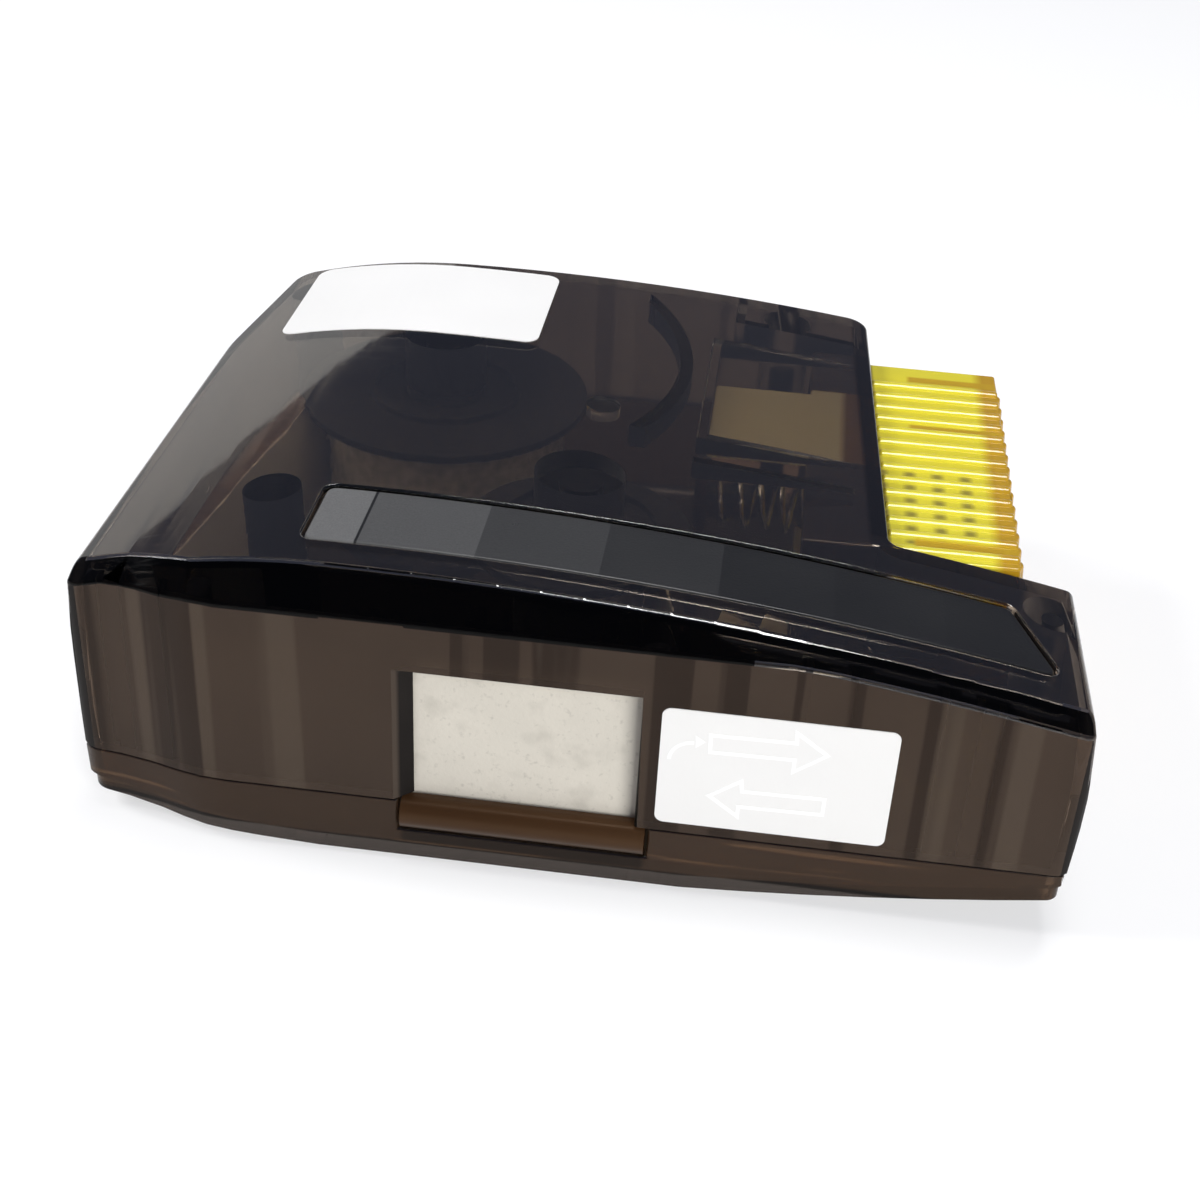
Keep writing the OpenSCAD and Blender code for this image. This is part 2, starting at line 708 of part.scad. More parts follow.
// Reels: a hub with two flanges, the upper one ringed and pierced
module reel(at, flange_r, z) {
    difference() {
        union() {
            tube(at, flange_r, [z, z + flange_t]);
            tube(at, hub_r, [z, reel_top + flange_t]);
            tube(at, flange_r, [reel_top, reel_top + flange_t]);
            difference() {
                tube(at, min(ring_r, flange_r - ring_w), [reel_top, reel_top + flange_t + ring_w]);
                tube(at, min(ring_r, flange_r - ring_w) - ring_w,
                    [reel_top + flange_t, reel_top + 2 * cap_h + over]);
            }
        }
        tube(at, spindle_r + run_gap, [z - over, reel_top + case_h]);
    }
}
module wound_tape(at, r) {
    difference() {
        tube(at, r, [tape_z, tape_z + tape_w]);
        tube(at, hub_r + seat_gap, [tape_z - over, tape_z + tape_w + over]);
    }
}
module reel_cap(at) {
    difference() {
        tube(at, hub_r - ring_w, [reel_top + flange_t + seat_gap, reel_top + flange_t + cap_h]);
        tube(at, spindle_r + run_gap, [reel_top, reel_top + case_h]);
    }
}
module supply_reel() color("#4a4038") reel(supply_at, supply_r, reel_z);
module supply_tape() color("#e6e1d2") wound_tape(supply_at, fresh_r);
module supply_cap() color("#4a4038") reel_cap(supply_at);
module drag_washer() color("#7b2f26") {
    difference() {
        tube(supply_at, hub_r - ring_w, [reel_z - 2 * free_gap - flange_t / 2, reel_z - free_gap]);
        tube(supply_at, spindle_r + run_gap, [0, reel_z]);
    }
}
module takeup_reel() color("#4a4038") {
    reel(takeup_at, takeup_r, reel_z);
}
module takeup_tape() color("#d8d3c4") wound_tape(takeup_at, used_r);
module takeup_cap() color("#4a4038") reel_cap(takeup_at);

// A saw-toothed wheel fixed under the take-up reel: it is pushed anticlockwise seen from above
module ratchet_wheel() color("#d5cfc0") {
    step = 360 / ratchet_count;
    translate([takeup_at.x, takeup_at.y, ratchet_z]) difference() {
        linear_extrude(reel_z - ratchet_z) polygon([for (i = [0 : ratchet_count - 1]) each [
            turned([ratchet_r - ratchet_depth, 0], i * step), turned([ratchet_r, 0], i * step)]]);
        translate([0, 0, -over]) cylinder(r = spindle_r + run_gap, h = case_h);
    }
}

// Gear with straight-flanked teeth, one tooth centred on the direction that faces the rack
module gear(teeth, h, facing) {
    r = tooth_size * teeth / 2;
    half = (tooth_size * PI / 2 - tooth_thin) / 2;
    root = half + tooth_in * tan(gear_root_angle);
    tip = half - tooth_out * tan(gear_tip_angle);
    foot = r - tooth_in - tooth_size / 2;
    cylinder(r = r - tooth_in, h = h);
    linear_extrude(h) for (i = [0 : teeth - 1]) rotate(facing + i * 360 / teeth) polygon([
        [foot, -root], [r - tooth_in + seat_gap, -root], [r, -half], [r + tooth_out, -tip],
        [r + tooth_out, tip], [r, half], [r - tooth_in + seat_gap, root], [foot, root]]);
}
// Rack along X whose teeth point to +Y (side 1) or -Y (side -1), with a gap centred on gap_x
module rack(x, y, back, side, gap_x, z, h) {
    pitch = tooth_size * PI;
    half = (pitch / 2 - tooth_thin) / 2;
    lean = tan(rack_angle);
    first = ceil((x[0] + half + tooth_in * lean - gap_x - pitch / 2) / pitch);
    last = floor((x[1] - half - tooth_in * lean - gap_x - pitch / 2) / pitch);
    translate([0, y, z]) linear_extrude(h) union() {
        translate([x[0], side > 0 ? -back : tooth_in]) square([x[1] - x[0], back - tooth_in]);
        for (i = [first : last]) translate([gap_x + (i + 1 / 2) * pitch, 0]) polygon([
            [-half - tooth_in * lean, -side * (tooth_in + seat_gap)],
            [half + tooth_in * lean, -side * (tooth_in + seat_gap)],
            [half - tooth_out * lean, side * tooth_out], [-half + tooth_out * lean, side * tooth_out]]);
    }
}

// Gear that the trigger's rack turns under the take-up reel, with the pawl pin on it
module drive_gear() color("#e3ddcd") {
    difference() {
        union() {
            translate([takeup_at.x, takeup_at.y, drive_z]) gear(drive_teeth, gear_h, 90);
            tube(drive_pawl_at, pawl_pin_r, [drive_z, ratchet_z + pawl_pin_h]);
        }
        tube(takeup_at, spindle_r + run_gap, [0, reel_z]);
    }
}
// A pawl is an eye on a pin with a pointed arm that ends square to the ratchet's radius, just off its teeth
module pawl(out) {
    at = takeup_at + out;
    reach = sqrt(out * out - pawl_tip_r * pawl_tip_r);
    aim = angle_of(out) + 90 + acos(pawl_tip_r / norm(out));
    translate([at.x, at.y, ratchet_z]) rotate(aim) difference() {
        union() {
            cylinder(r = pawl_pin_r + wall / 2, h = pawl_t);
            linear_extrude(pawl_t)
                polygon([[0, -pawl_pin_r], [reach, -seat_gap], [reach, seat_gap], [0, pawl_pin_r]]);
        }
        translate([0, 0, -over]) cylinder(r = pawl_pin_r + run_gap, h = case_h);
    }
}
module drive_pawl() color("#c0392b") pawl(drive_pawl_out);
module stop_pawl() color("#c0392b") pawl(stop_pawl_out);
module gear_axles() color("#b9bcc0") {
    tube(pinion_at, axle_r, [shutter_z - free_gap, link_z + link_h + cap_h]);
    tube(stop_pawl_at, pawl_pin_r, [ratchet_z - free_gap, reel_z - free_gap]);
}

// Stepped pinion: the small gear meets the trigger's link rack, the large one the shutter's rack
module shutter_pinion() color("#e3ddcd") {
    difference() {
        translate([pinion_at.x, pinion_at.y, shutter_z]) {
            gear(large_teeth, gear_h, -90);
            cylinder(r = small_r - tooth_in, h = link_z - shutter_z);
            translate([0, 0, link_z - shutter_z]) gear(small_teeth, link_h, -90);
        }
        tube(pinion_at, axle_r + run_gap, [0, case_h]);
    }
}

// The ribbed translucent trigger, hollow and open towards the case, with a tongue under the top
module trigger() color("#f0d83a") {
    y = [trigger_front_y, trigger_back_y];
    pitch = (y[1] - y[0] - rib_front_in - rib_back_in) / (rib_count - 1);
    under = trigger_top - trigger_wall;
    difference() {
        union() {
            trigger_block(0);
            for (i = [0 : rib_count - 1]) {
                at = y[0] + rib_front_in + i * pitch;
                translate([notch_x + free_gap, at, trigger_top - rib_r + rib_up]) rotate([0, 90, 0])
                    cylinder(r = rib_r, h = trigger_out_x - notch_x - free_gap, $fn = 16);
                translate([trigger_out_x + trigger_slope - rib_r + rib_up, at, trigger_low])
                    cylinder(r = rib_r, h = waist_z - trigger_low, $fn = 16);
                rib_slope(at);
            }
            box([tongue_x, trigger_in_x + over], tongue_y, [trigger_top - trigger_wall, trigger_top]);
        }
        difference() {
            trigger_block(trigger_wall);
            for (d = gusset_back_in) box([notch_x + gusset_in, trigger_out_x + case_l],
                [trigger_back_y - d - gusset_t, trigger_back_y - d], [under - gusset_h, case_h]);
        }
    }
    translate([trigger_out_x - trigger_wall - peg_l, spring_at.x, spring_at.y]) rotate([0, 90, 0])
        cylinder(r = peg_r, h = peg_l + trigger_slope);
}
module trigger_block(d) {
    x = [trigger_in_x - (d > 0 ? over : 0), trigger_out_x + trigger_slope - d];
    y = [trigger_front_y + d, trigger_back_y - d];
    translate([0, y[1], 0]) rotate([90, 0, 0]) linear_extrude(y[1] - y[0]) polygon([
        [x[0], trigger_low + d], [x[1], trigger_low + d], [x[1], waist_z],
        [trigger_out_x - d, trigger_top - d], [x[0], trigger_top - d]]);
}
module rib_slope(at) {
    run = [-trigger_slope, trigger_top - waist_z];
    translate([trigger_out_x + trigger_slope - rib_r + rib_up, at, waist_z])
        rotate([0, -atan2(-run.x, run.y), 0])
            cylinder(r = rib_r, h = norm(run) - rib_up, $fn = 16);
}

// Bar under the trigger's floor whose teeth turn the drive gear
module drive_rack() color("#d8d2c4") {
    x = [takeup_at.x - rack_reach, takeup_at.x + stroke + rack_reach];
    y = [drive_y + tooth_in, drive_y + bar_t + tooth_in];
    foot = [trigger_in_x + seat_gap, trigger_in_x + 3 * wall];
    rack(x, drive_y, bar_t + tooth_in, -1, takeup_at.x, drive_z, gear_h);
    box([x[1] - seat_gap, foot[1]], y, [drive_z, drive_z + gear_h]);
    box(foot, y, [drive_z, trigger_low]);
}

// Arm from the trigger through the nose's back wall, and the rack that turns the stepped pinion
module link_rack() color("#e8cf3c") {
    rack([pinion_at.x - rack_reach, arm_x[1]], link_y, bar_t + tooth_in, 1, pinion_at.x, link_z, link_h);
    box(arm_x, [link_y - bar_t, trigger_front_y], [link_z, link_z + link_h]);
}

// Return spring between its seat on the lower shell and the trigger's outer wall
function coil_out(t) = [0, cos(360 * spring_turns * t), sin(360 * spring_turns * t)];
module return_spring() color("#c9ccd1") {
    rings = 8 * spring_turns;
    sides = 6;
    slope_at = trigger_slope * (spring_at.y + spring_r + wire_r - waist_z) / (trigger_top - waist_z);
    x = [spring_seat_x + wire_r + seat_gap,
         trigger_out_x + trigger_slope - slope_at - trigger_wall - wire_r - seat_gap];
    l = x[1] - x[0];
    points = [for (i = [0 : rings]) let (out = coil_out(i / rings)) for (j = [0 : sides - 1])
        let (a = 360 * j / sides)
        out * (spring_r + wire_r * cos(a)) + [l * i / rings + wire_r * sin(a), 0, 0]];
    around = [for (i = [0 : rings - 1]) for (j = [0 : sides - 1])
        let (a = i * sides + j, b = i * sides + (j + 1) % sides)
        each [[a, b + sides, b], [a, a + sides, b + sides]]];
    first = [for (j = [0 : sides - 1]) j];
    last = [for (j = [sides - 1 : -1 : 0]) rings * sides + j];
    translate([x[0], spring_at.x, spring_at.y])
        polyhedron(points, concat(around, [first, last]), convexity = 10);
    echo(least_gap_of_spring = l / spring_turns - 2 * wire_r);
}

// Screws that hold the shells together from below, with sockets in their heads
module shell_screws() color("#6f7276") {
    for (p = pillars) {
        z = belly_z(p.x) + rest_cut + screw_head_h;
        difference() {
            union() {
                tube(p, screw_head_r, [z - screw_head_h + free_gap, z - seat_gap]);
                tube(p, screw_r, [z - screw_head_h + free_gap, z + screw_l]);
            }
            for (a = [0, 90]) translate([p.x, p.y, z - screw_head_h]) rotate(a)
                cube([2 * screw_r, screw_r / 2, 2 * screw_r], center = true);
        }
    }
}

upper_shell();
lower_shell();
accent_strip();
rear_label();
front_label();
window_rail();
shutter_plate();
shutter_rack();
shutter_guide();
pad_holder();
cleaning_pad();
tape_web();
guide_posts();
supply_reel();
supply_tape();
supply_cap();
drag_washer();
takeup_reel();
takeup_tape();
takeup_cap();
ratchet_wheel();
drive_gear();
drive_pawl();
stop_pawl();
gear_axles();
shutter_pinion();
trigger();
drive_rack();
link_rack();
return_spring();
shell_screws();
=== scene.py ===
import bpy, bmesh, math
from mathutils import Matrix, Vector
from mathutils.bvhtree import BVHTree


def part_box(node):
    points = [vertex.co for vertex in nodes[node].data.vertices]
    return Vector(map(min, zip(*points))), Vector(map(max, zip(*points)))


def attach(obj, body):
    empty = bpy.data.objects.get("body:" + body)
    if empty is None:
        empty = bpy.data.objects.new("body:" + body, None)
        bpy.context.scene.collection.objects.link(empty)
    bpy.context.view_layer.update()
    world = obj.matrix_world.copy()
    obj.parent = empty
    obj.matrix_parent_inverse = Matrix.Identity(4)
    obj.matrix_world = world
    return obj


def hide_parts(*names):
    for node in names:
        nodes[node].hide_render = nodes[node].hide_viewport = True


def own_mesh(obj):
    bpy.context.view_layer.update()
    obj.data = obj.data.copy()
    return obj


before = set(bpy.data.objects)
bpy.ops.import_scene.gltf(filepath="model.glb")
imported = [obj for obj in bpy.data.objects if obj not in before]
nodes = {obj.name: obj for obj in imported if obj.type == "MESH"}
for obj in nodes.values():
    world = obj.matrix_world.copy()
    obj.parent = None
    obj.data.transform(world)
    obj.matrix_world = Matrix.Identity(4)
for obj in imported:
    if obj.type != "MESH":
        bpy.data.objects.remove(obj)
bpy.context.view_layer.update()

# The camera: a normal lens held above the front of the cassette, a little to its right, and turned a few
# degrees about its own line of sight.
bpy.ops.object.camera_add(location=(0.018097, -0.202578, 0.140166),
                          rotation=[math.radians(a) for a in (57.2088, -2.6519, 7.1052)])
camera = bpy.context.object
camera.name = "camera"
camera.data.lens = 54.022
camera.data.clip_start = 0.01
camera.data.clip_end = 20
bpy.context.scene.camera = camera
bpy.context.scene.view_settings.view_transform = "Standard"


# The table: a white sweep with a low turned-up edge. It is matt paint that shows white to the lens, in
# mirrors and through clear plastic, and still takes the cassette's faint shadow.
floor_size = 2.4
floor_edge = 0.3
floor_below = 0.0001
floor_paint = 0.50
floor_lift = 0.49


def matt_white(name, colour, lift):
    made = bpy.data.materials.new(name)
    made.use_nodes = True
    tree = made.node_tree
    tree.nodes.clear()
    end = tree.nodes.new("ShaderNodeOutputMaterial")
    paint = tree.nodes.new("ShaderNodeBsdfDiffuse")
    paint.inputs["Color"].default_value = (colour, colour, colour, 1)
    glow = tree.nodes.new("ShaderNodeEmission")
    rays = tree.nodes.new("ShaderNodeLightPath")
    total = tree.nodes.new("ShaderNodeAddShader")
    seen = rays.outputs["Is Camera Ray"]
    for kind in ("Is Glossy Ray", "Is Transmission Ray"):
        either = tree.nodes.new("ShaderNodeMath")
        either.operation = "MAXIMUM"
        tree.links.new(seen, either.inputs[0])
        tree.links.new(rays.outputs[kind], either.inputs[1])
        seen = either.outputs[0]
    strength = tree.nodes.new("ShaderNodeMath")
    strength.operation = "MULTIPLY"
    strength.inputs[1].default_value = lift
    tree.links.new(seen, strength.inputs[0])
    tree.links.new(strength.outputs[0], glow.inputs["Strength"])
    tree.links.new(paint.outputs[0], total.inputs[0])
    tree.links.new(glow.outputs[0], total.inputs[1])
    tree.links.new(total.outputs[0], end.inputs["Surface"])
    return made


bpy.ops.object.select_all(action="DESELECT")
bpy.ops.mesh.primitive_plane_add(size=floor_size, location=(0, 0, -floor_below))
sweep = bpy.context.object
sweep.name = "sweep"
bpy.ops.object.mode_set(mode="EDIT")
bpy.ops.mesh.select_mode(type="EDGE")
bpy.ops.mesh.select_all(action="SELECT")
bpy.ops.mesh.extrude_edges_move(TRANSFORM_OT_translate={"value": (0, 0, floor_edge)})
bpy.ops.object.mode_set(mode="OBJECT")
sweep.data.materials.append(matt_white("white_sweep", floor_paint, floor_lift))

# A white card stands behind the cassette on the left. The left shoulder of the polished top mirrors it,
# and the rest of the top mirrors the dark room over and beside it.
card_foot = [(-1.2, 1.08), (-0.205, 0.871)]
card_h = 0.41
card_paint, card_lift = 0.3, 0.52
bpy.ops.mesh.primitive_plane_add(size=1, location=(0, 0, 0))
card = bpy.context.object
card.name = "card"
for corner, (across, up) in zip(card.data.vertices, ((0, 0), (1, 0), (0, 1), (1, 1))):
    corner.co = (*card_foot[across], up * card_h)
card.data.materials.append(matt_white("white_card", card_paint, card_lift))

# The light: a narrow box overhead for the white line on the top's front edge, a broad one at the left, and a
# softer one low at the front right for the window and the labels. Only the first shows in the polished
# plastic. The room itself is a dim blue.
lamps_aim = Vector((0, 0, 0.02))
for name, place, size, power in (
        ("overhead_box", (0.09, 0.15, 1.0), (0.2, 0.7), 5.1),
        ("left_box", (-0.78, -0.02, 0.66), (0.35, 0.35), 6.1),
        ("front_box", (0.42, -0.74, 0.36), (0.5, 0.5), 7.9)):
    bpy.ops.object.light_add(type="AREA", location=place)
    lamp = bpy.context.object
    lamp.name = name
    lamp.data.shape = "RECTANGLE"
    lamp.data.size, lamp.data.size_y = size
    lamp.data.energy = power
    lamp.rotation_euler = (lamps_aim - lamp.location).to_track_quat("-Z", "Y").to_euler()
    lamp.visible_glossy = name == "overhead_box"
room = bpy.data.worlds.new("dim_room")
bpy.context.scene.world = room
room.use_nodes = True
room.node_tree.nodes["Background"].inputs["Color"].default_value = (0.11, 0.12, 0.17, 1)


# The lower shell: a bellied tray moulded from smoked polycarbonate, with the spindles and pillars standing
# in it. Its edges are as the mould leaves them, a third of a millimetre round, and it is polished outside.
edge_round = 0.00035
sharp = math.radians(18)
upright_sharp = math.radians(50)
still_smooth = math.radians(35)
flat_within = math.radians(0.3)
same_point = 2e-6
just_off = 2e-5
upright_along = 0.8
faces_down = -0.3


def softened(name, new_name, body):
    node = nodes[name]
    bpy.ops.object.select_all(action="DESELECT")
    piece = bpy.data.objects.new(new_name, node.data.copy())
    bpy.context.scene.collection.objects.link(piece)
    bpy.context.view_layer.objects.active = piece
    piece.select_set(True)
    bpy.ops.mesh.customdata_custom_splitnormals_clear()
    bpy.ops.object.mode_set(mode="EDIT")
    bpy.ops.mesh.select_all(action="SELECT")
    bpy.ops.mesh.remove_doubles(threshold=same_point)
    bpy.ops.mesh.dissolve_limited(angle_limit=flat_within)
    bpy.ops.mesh.select_all(action="DESELECT")
    form = bmesh.from_edit_mesh(piece.data)
    solid = BVHTree.FromBMesh(form)
    for edge in form.edges:
        if len(edge.link_faces) != 2 or not edge.is_convex or edge.calc_face_angle() < sharp:
            continue
        out = (edge.link_faces[0].normal + edge.link_faces[1].normal).normalized()
        middle = (edge.verts[0].co + edge.verts[1].co) / 2
        along = (edge.verts[0].co - edge.verts[1].co).normalized()
        if abs(along.z) > upright_along and edge.calc_face_angle() < upright_sharp:
            continue
        if out.z > faces_down and solid.ray_cast(middle + out * just_off, out)[0] is None:
            edge.select_set(True)
    bmesh.update_edit_mesh(piece.data)
    bpy.ops.mesh.bevel(offset=edge_round, offset_type="OFFSET", segments=3, profile=0.5, affect="EDGES",
                       clamp_overlap=False)
    bpy.ops.object.mode_set(mode="OBJECT")
    bpy.ops.object.shade_smooth_by_angle(angle=still_smooth)
    bpy.ops.object.modifier_add(type="WEIGHTED_NORMAL")
    piece.modifiers[-1].keep_sharp = True
    bpy.ops.object.modifier_apply(modifier=piece.modifiers[-1].name)
    piece.data.materials.clear()
    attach(piece, body)
    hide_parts(name)
    return piece


def clear_plastic(name, deep, pale, rough, refraction=1.58, mirror=(1, 1, 1), clear=1.0):
    made = bpy.data.materials.new(name)
    made.use_nodes = True
    tree = made.node_tree
    face = tree.nodes["Principled BSDF"]
    place = tree.nodes.new("ShaderNodeTexCoord")
    cloud = tree.nodes.new("ShaderNodeTexNoise")
    cloud.inputs["Scale"].default_value = 28
    cloud.inputs["Detail"].default_value = 3
    tint = tree.nodes.new("ShaderNodeValToRGB")
    tint.color_ramp.elements[0].position = 0.3
    tint.color_ramp.elements[0].color = (*deep, 1)
    tint.color_ramp.elements[1].position = 0.75
    tint.color_ramp.elements[1].color = (*pale, 1)
    stretch = tree.nodes.new("ShaderNodeMapping")
    stretch.inputs["Rotation"].default_value = (0.3, 0.2, 0.6)
    stretch.inputs["Scale"].default_value = (60, 2600, 900)
    hair = tree.nodes.new("ShaderNodeTexNoise")
    hair.inputs["Scale"].default_value = 1
    hair.inputs["Detail"].default_value = 2
    wear = tree.nodes.new("ShaderNodeMapRange")
    wear.inputs["From Min"].default_value = 0.55
    wear.inputs["From Max"].default_value = 0.85
    wear.inputs["To Min"].default_value = rough
    wear.inputs["To Max"].default_value = rough + 0.08
    bump = tree.nodes.new("ShaderNodeBump")
    bump.inputs["Strength"].default_value = 0.02
    bump.inputs["Distance"].default_value = 0.0002
    tree.links.new(place.outputs["Object"], cloud.inputs["Vector"])
    tree.links.new(cloud.outputs["Fac"], tint.inputs["Fac"])
    tree.links.new(tint.outputs["Color"], face.inputs["Base Color"])
    tree.links.new(place.outputs["Object"], stretch.inputs["Vector"])
    tree.links.new(stretch.outputs["Vector"], hair.inputs["Vector"])
    tree.links.new(hair.outputs["Fac"], wear.inputs["Value"])
    tree.links.new(wear.outputs["Result"], face.inputs["Roughness"])
    tree.links.new(cloud.outputs["Fac"], bump.inputs["Height"])
    tree.links.new(bump.outputs["Normal"], face.inputs["Normal"])
    face.inputs["Transmission Weight"].default_value = clear
    face.inputs["IOR"].default_value = refraction
    face.inputs["Specular Tint"].default_value = (*mirror, 1)
    return made


def spread(made, way, start, stop):
    tree = made.node_tree
    along = tree.nodes.new("ShaderNodeVectorMath")
    along.operation = "DOT_PRODUCT"
    along.inputs[1].default_value = way
    share = tree.nodes.new("ShaderNodeMapRange")
    share.inputs["From Min"].default_value = start
    share.inputs["From Max"].default_value = stop
    tree.links.new(tree.nodes["Texture Coordinate"].outputs["Object"], along.inputs[0])
    tree.links.new(along.outputs["Value"], share.inputs["Value"])
    return share.outputs["Result"]


def tinted_where(made, colour, *shares):
    tree = made.node_tree
    base = tree.nodes["Principled BSDF"].inputs["Base Color"]
    share = shares[0]
    for other in shares[1:]:
        product = tree.nodes.new("ShaderNodeMath")
        product.operation = "MULTIPLY"
        tree.links.new(share, product.inputs[0])
        tree.links.new(other, product.inputs[1])
        share = product.outputs[0]
    mixed = tree.nodes.new("ShaderNodeMix")
    mixed.data_type = "RGBA"
    mixed.inputs["B"].default_value = (*colour, 1)
    tree.links.new(share, mixed.inputs["Factor"])
    tree.links.new(base.links[0].from_socket, mixed.inputs["A"])
    tree.links.new(mixed.outputs["Result"], base)


def streaks(made, scale, start, stop):
    tree = made.node_tree
    stretch = tree.nodes.new("ShaderNodeMapping")
    stretch.inputs["Scale"].default_value = scale
    lines = tree.nodes.new("ShaderNodeTexNoise")
    lines.inputs["Scale"].default_value = 1
    lines.inputs["Detail"].default_value = 2
    share = tree.nodes.new("ShaderNodeMapRange")
    share.inputs["From Min"].default_value = start
    share.inputs["From Max"].default_value = stop
    tree.links.new(tree.nodes["Texture Coordinate"].outputs["Object"], stretch.inputs["Vector"])
    tree.links.new(stretch.outputs["Vector"], lines.inputs["Vector"])
    tree.links.new(lines.outputs["Fac"], share.inputs["Value"])
    return share.outputs["Result"]


side_to_side, front_to_back, upwards = (1, 0, 0), (0, 1, 0), (0, 0, 1)
painted_floor_reflection_z = (0.0024, 0.0021)
foot_line = ((0.0020, 0.0022), (0.0029, 0.0026))
painted_shade_under_bar_z = (0.0028, 0.0030)
painted_shade_under_bar_x = ((-0.0185, -0.0180), (0.0100, 0.0095))
level_face = 0.5
tray = softened("lower_shell", "smoked_tray", "case")
smoked_belly = clear_plastic("smoked_belly", (0.11, 0.066, 0.040), (0.15, 0.092, 0.056), 0.06,
                             refraction=1.29, mirror=(1, 0.85, 0.75), clear=0.8)
# Faint orange streaks across the tray's walls are painted glints: painted highlights in the brown plastic.
tinted_where(smoked_belly, (0.34, 0.19, 0.10), streaks(smoked_belly, (30, 30, 700), 0.60, 0.66))
# The curved foot of the belly, below about 2.2 mm, is painted a lighter grey: a painted reflection of the
# white table. A thin near-black line is tinted in just above it.
tinted_where(smoked_belly, (0.26, 0.22, 0.195), spread(smoked_belly, upwards, *painted_floor_reflection_z))
tinted_where(smoked_belly, (0.01, 0.01, 0.01), spread(smoked_belly, upwards, *foot_line[0]),
             spread(smoked_belly, upwards, *foot_line[1]))
# Above 3 mm and between the window's ends, under the bar, the tray is painted a darker brown: painted shade
# under the bar.
tinted_where(smoked_belly, (0.03, 0.018, 0.010), spread(smoked_belly, upwards, *painted_shade_under_bar_z),
             spread(smoked_belly, side_to_side, *painted_shade_under_bar_x[0]),
             spread(smoked_belly, side_to_side, *painted_shade_under_bar_x[1]))
tray.data.materials.append(smoked_belly)
# The tray's level faces, its floor inside and its underside, take a much darker copy of the smoked plastic:
# painted shade, so the inside and the underside read dim.
tray.data.materials.append(clear_plastic("shaded_smoked_floor", (0.022, 0.016, 0.011), (0.030, 0.022, 0.016), 0.10))
for side in tray.data.polygons:
    side.material_index = 1 if abs(side.normal.z) > level_face else 0


# Four zinc-plated steel screws go up through the tray's corners from below, into the pillars under the top.
# They are stock fasteners, and their heads lie sunk in the tray.
def dress(material, *names):
    for name in names:
        nodes[name].data.materials.clear()
        nodes[name].data.materials.append(material)


def moulded(name, colour, drift, rough, grain, depth, metal=0.0, sheen=0.0):
    made = bpy.data.materials.new(name)
    made.use_nodes = True
    tree = made.node_tree
    face = tree.nodes["Principled BSDF"]
    place = tree.nodes.new("ShaderNodeTexCoord")
    cloud = tree.nodes.new("ShaderNodeTexNoise")
    cloud.inputs["Scale"].default_value = 90
    cloud.inputs["Detail"].default_value = 5
    tint = tree.nodes.new("ShaderNodeValToRGB")
    tint.color_ramp.elements[0].position = 0.3
    tint.color_ramp.elements[0].color = (*[c * (1 - drift) for c in colour], 1)
    tint.color_ramp.elements[1].position = 0.7
    tint.color_ramp.elements[1].color = (*[min(c * (1 + drift), 1) for c in colour], 1)
    fine = tree.nodes.new("ShaderNodeTexNoise")
    fine.inputs["Scale"].default_value = grain
    fine.inputs["Detail"].default_value = 3
    wear = tree.nodes.new("ShaderNodeMapRange")
    wear.inputs["To Min"].default_value = max(rough - 0.08, 0.02)
    wear.inputs["To Max"].default_value = rough + 0.08
    bump = tree.nodes.new("ShaderNodeBump")
    bump.inputs["Strength"].default_value = depth
    bump.inputs["Distance"].default_value = 0.0001
    tree.links.new(place.outputs["Object"], cloud.inputs["Vector"])
    tree.links.new(place.outputs["Object"], fine.inputs["Vector"])
    tree.links.new(cloud.outputs["Fac"], tint.inputs["Fac"])
    tree.links.new(tint.outputs["Color"], face.inputs["Base Color"])
    tree.links.new(cloud.outputs["Fac"], wear.inputs["Value"])
    tree.links.new(wear.outputs["Result"], face.inputs["Roughness"])
    tree.links.new(fine.outputs["Fac"], bump.inputs["Height"])
    tree.links.new(bump.outputs["Normal"], face.inputs["Normal"])
    face.inputs["Metallic"].default_value = metal
    face.inputs["Sheen Weight"].default_value = sheen
    return made


dress(moulded("zinc_plate", (0.30, 0.31, 0.33), 0.12, 0.34, 3000, 0.3, metal=1), "shell_screws")

# Three ground steel pins lead the tape round, and two more carry the stepped gear and the stop pawl. All are
# bright steel with fine drawing marks.
bright_steel = moulded("bright_steel", (0.62, 0.62, 0.63), 0.04, 0.25, 4000, 0.15, metal=1)
dress(bright_steel, "guide_posts", "gear_axles")

# The return spring is a coil of steel wire between its seat in the tray and the trigger's outer wall.
spring_low, spring_high = [Vector(corner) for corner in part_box("return_spring")]
spring_turns = 13
wire_r = 0.0004
coil_r = (spring_high.y - spring_low.y) / 2 - wire_r
coil_l = spring_high.x - spring_low.x - 2 * wire_r
spring_middle = (spring_low + spring_high) / 2
coil_start = Vector((spring_low.x + wire_r, spring_middle.y, spring_middle.z))
bpy.ops.object.select_all(action="DESELECT")
bpy.ops.mesh.primitive_circle_add(vertices=10, radius=wire_r, location=(0, 0, 0))
coil = bpy.context.object
coil.name = "coil_spring"
bpy.ops.object.mode_set(mode="EDIT")
bpy.ops.mesh.select_all(action="SELECT")
bpy.ops.transform.translate(value=(0, coil_r, 0))
bpy.ops.object.mode_set(mode="OBJECT")
bpy.ops.object.modifier_add(type="SCREW")
coil.modifiers[-1].axis = "X"
coil.modifiers[-1].iterations = spring_turns
coil.modifiers[-1].screw_offset = coil_l / spring_turns
coil.modifiers[-1].steps = coil.modifiers[-1].render_steps = 30
bpy.ops.object.modifier_apply(modifier=coil.modifiers[-1].name)
bpy.ops.object.mode_set(mode="EDIT")
bpy.ops.mesh.select_all(action="SELECT")
bpy.ops.mesh.fill_holes(sides=0)
bpy.ops.mesh.select_all(action="SELECT")
bpy.ops.mesh.normals_make_consistent(inside=False)
bpy.ops.transform.translate(value=coil_start)
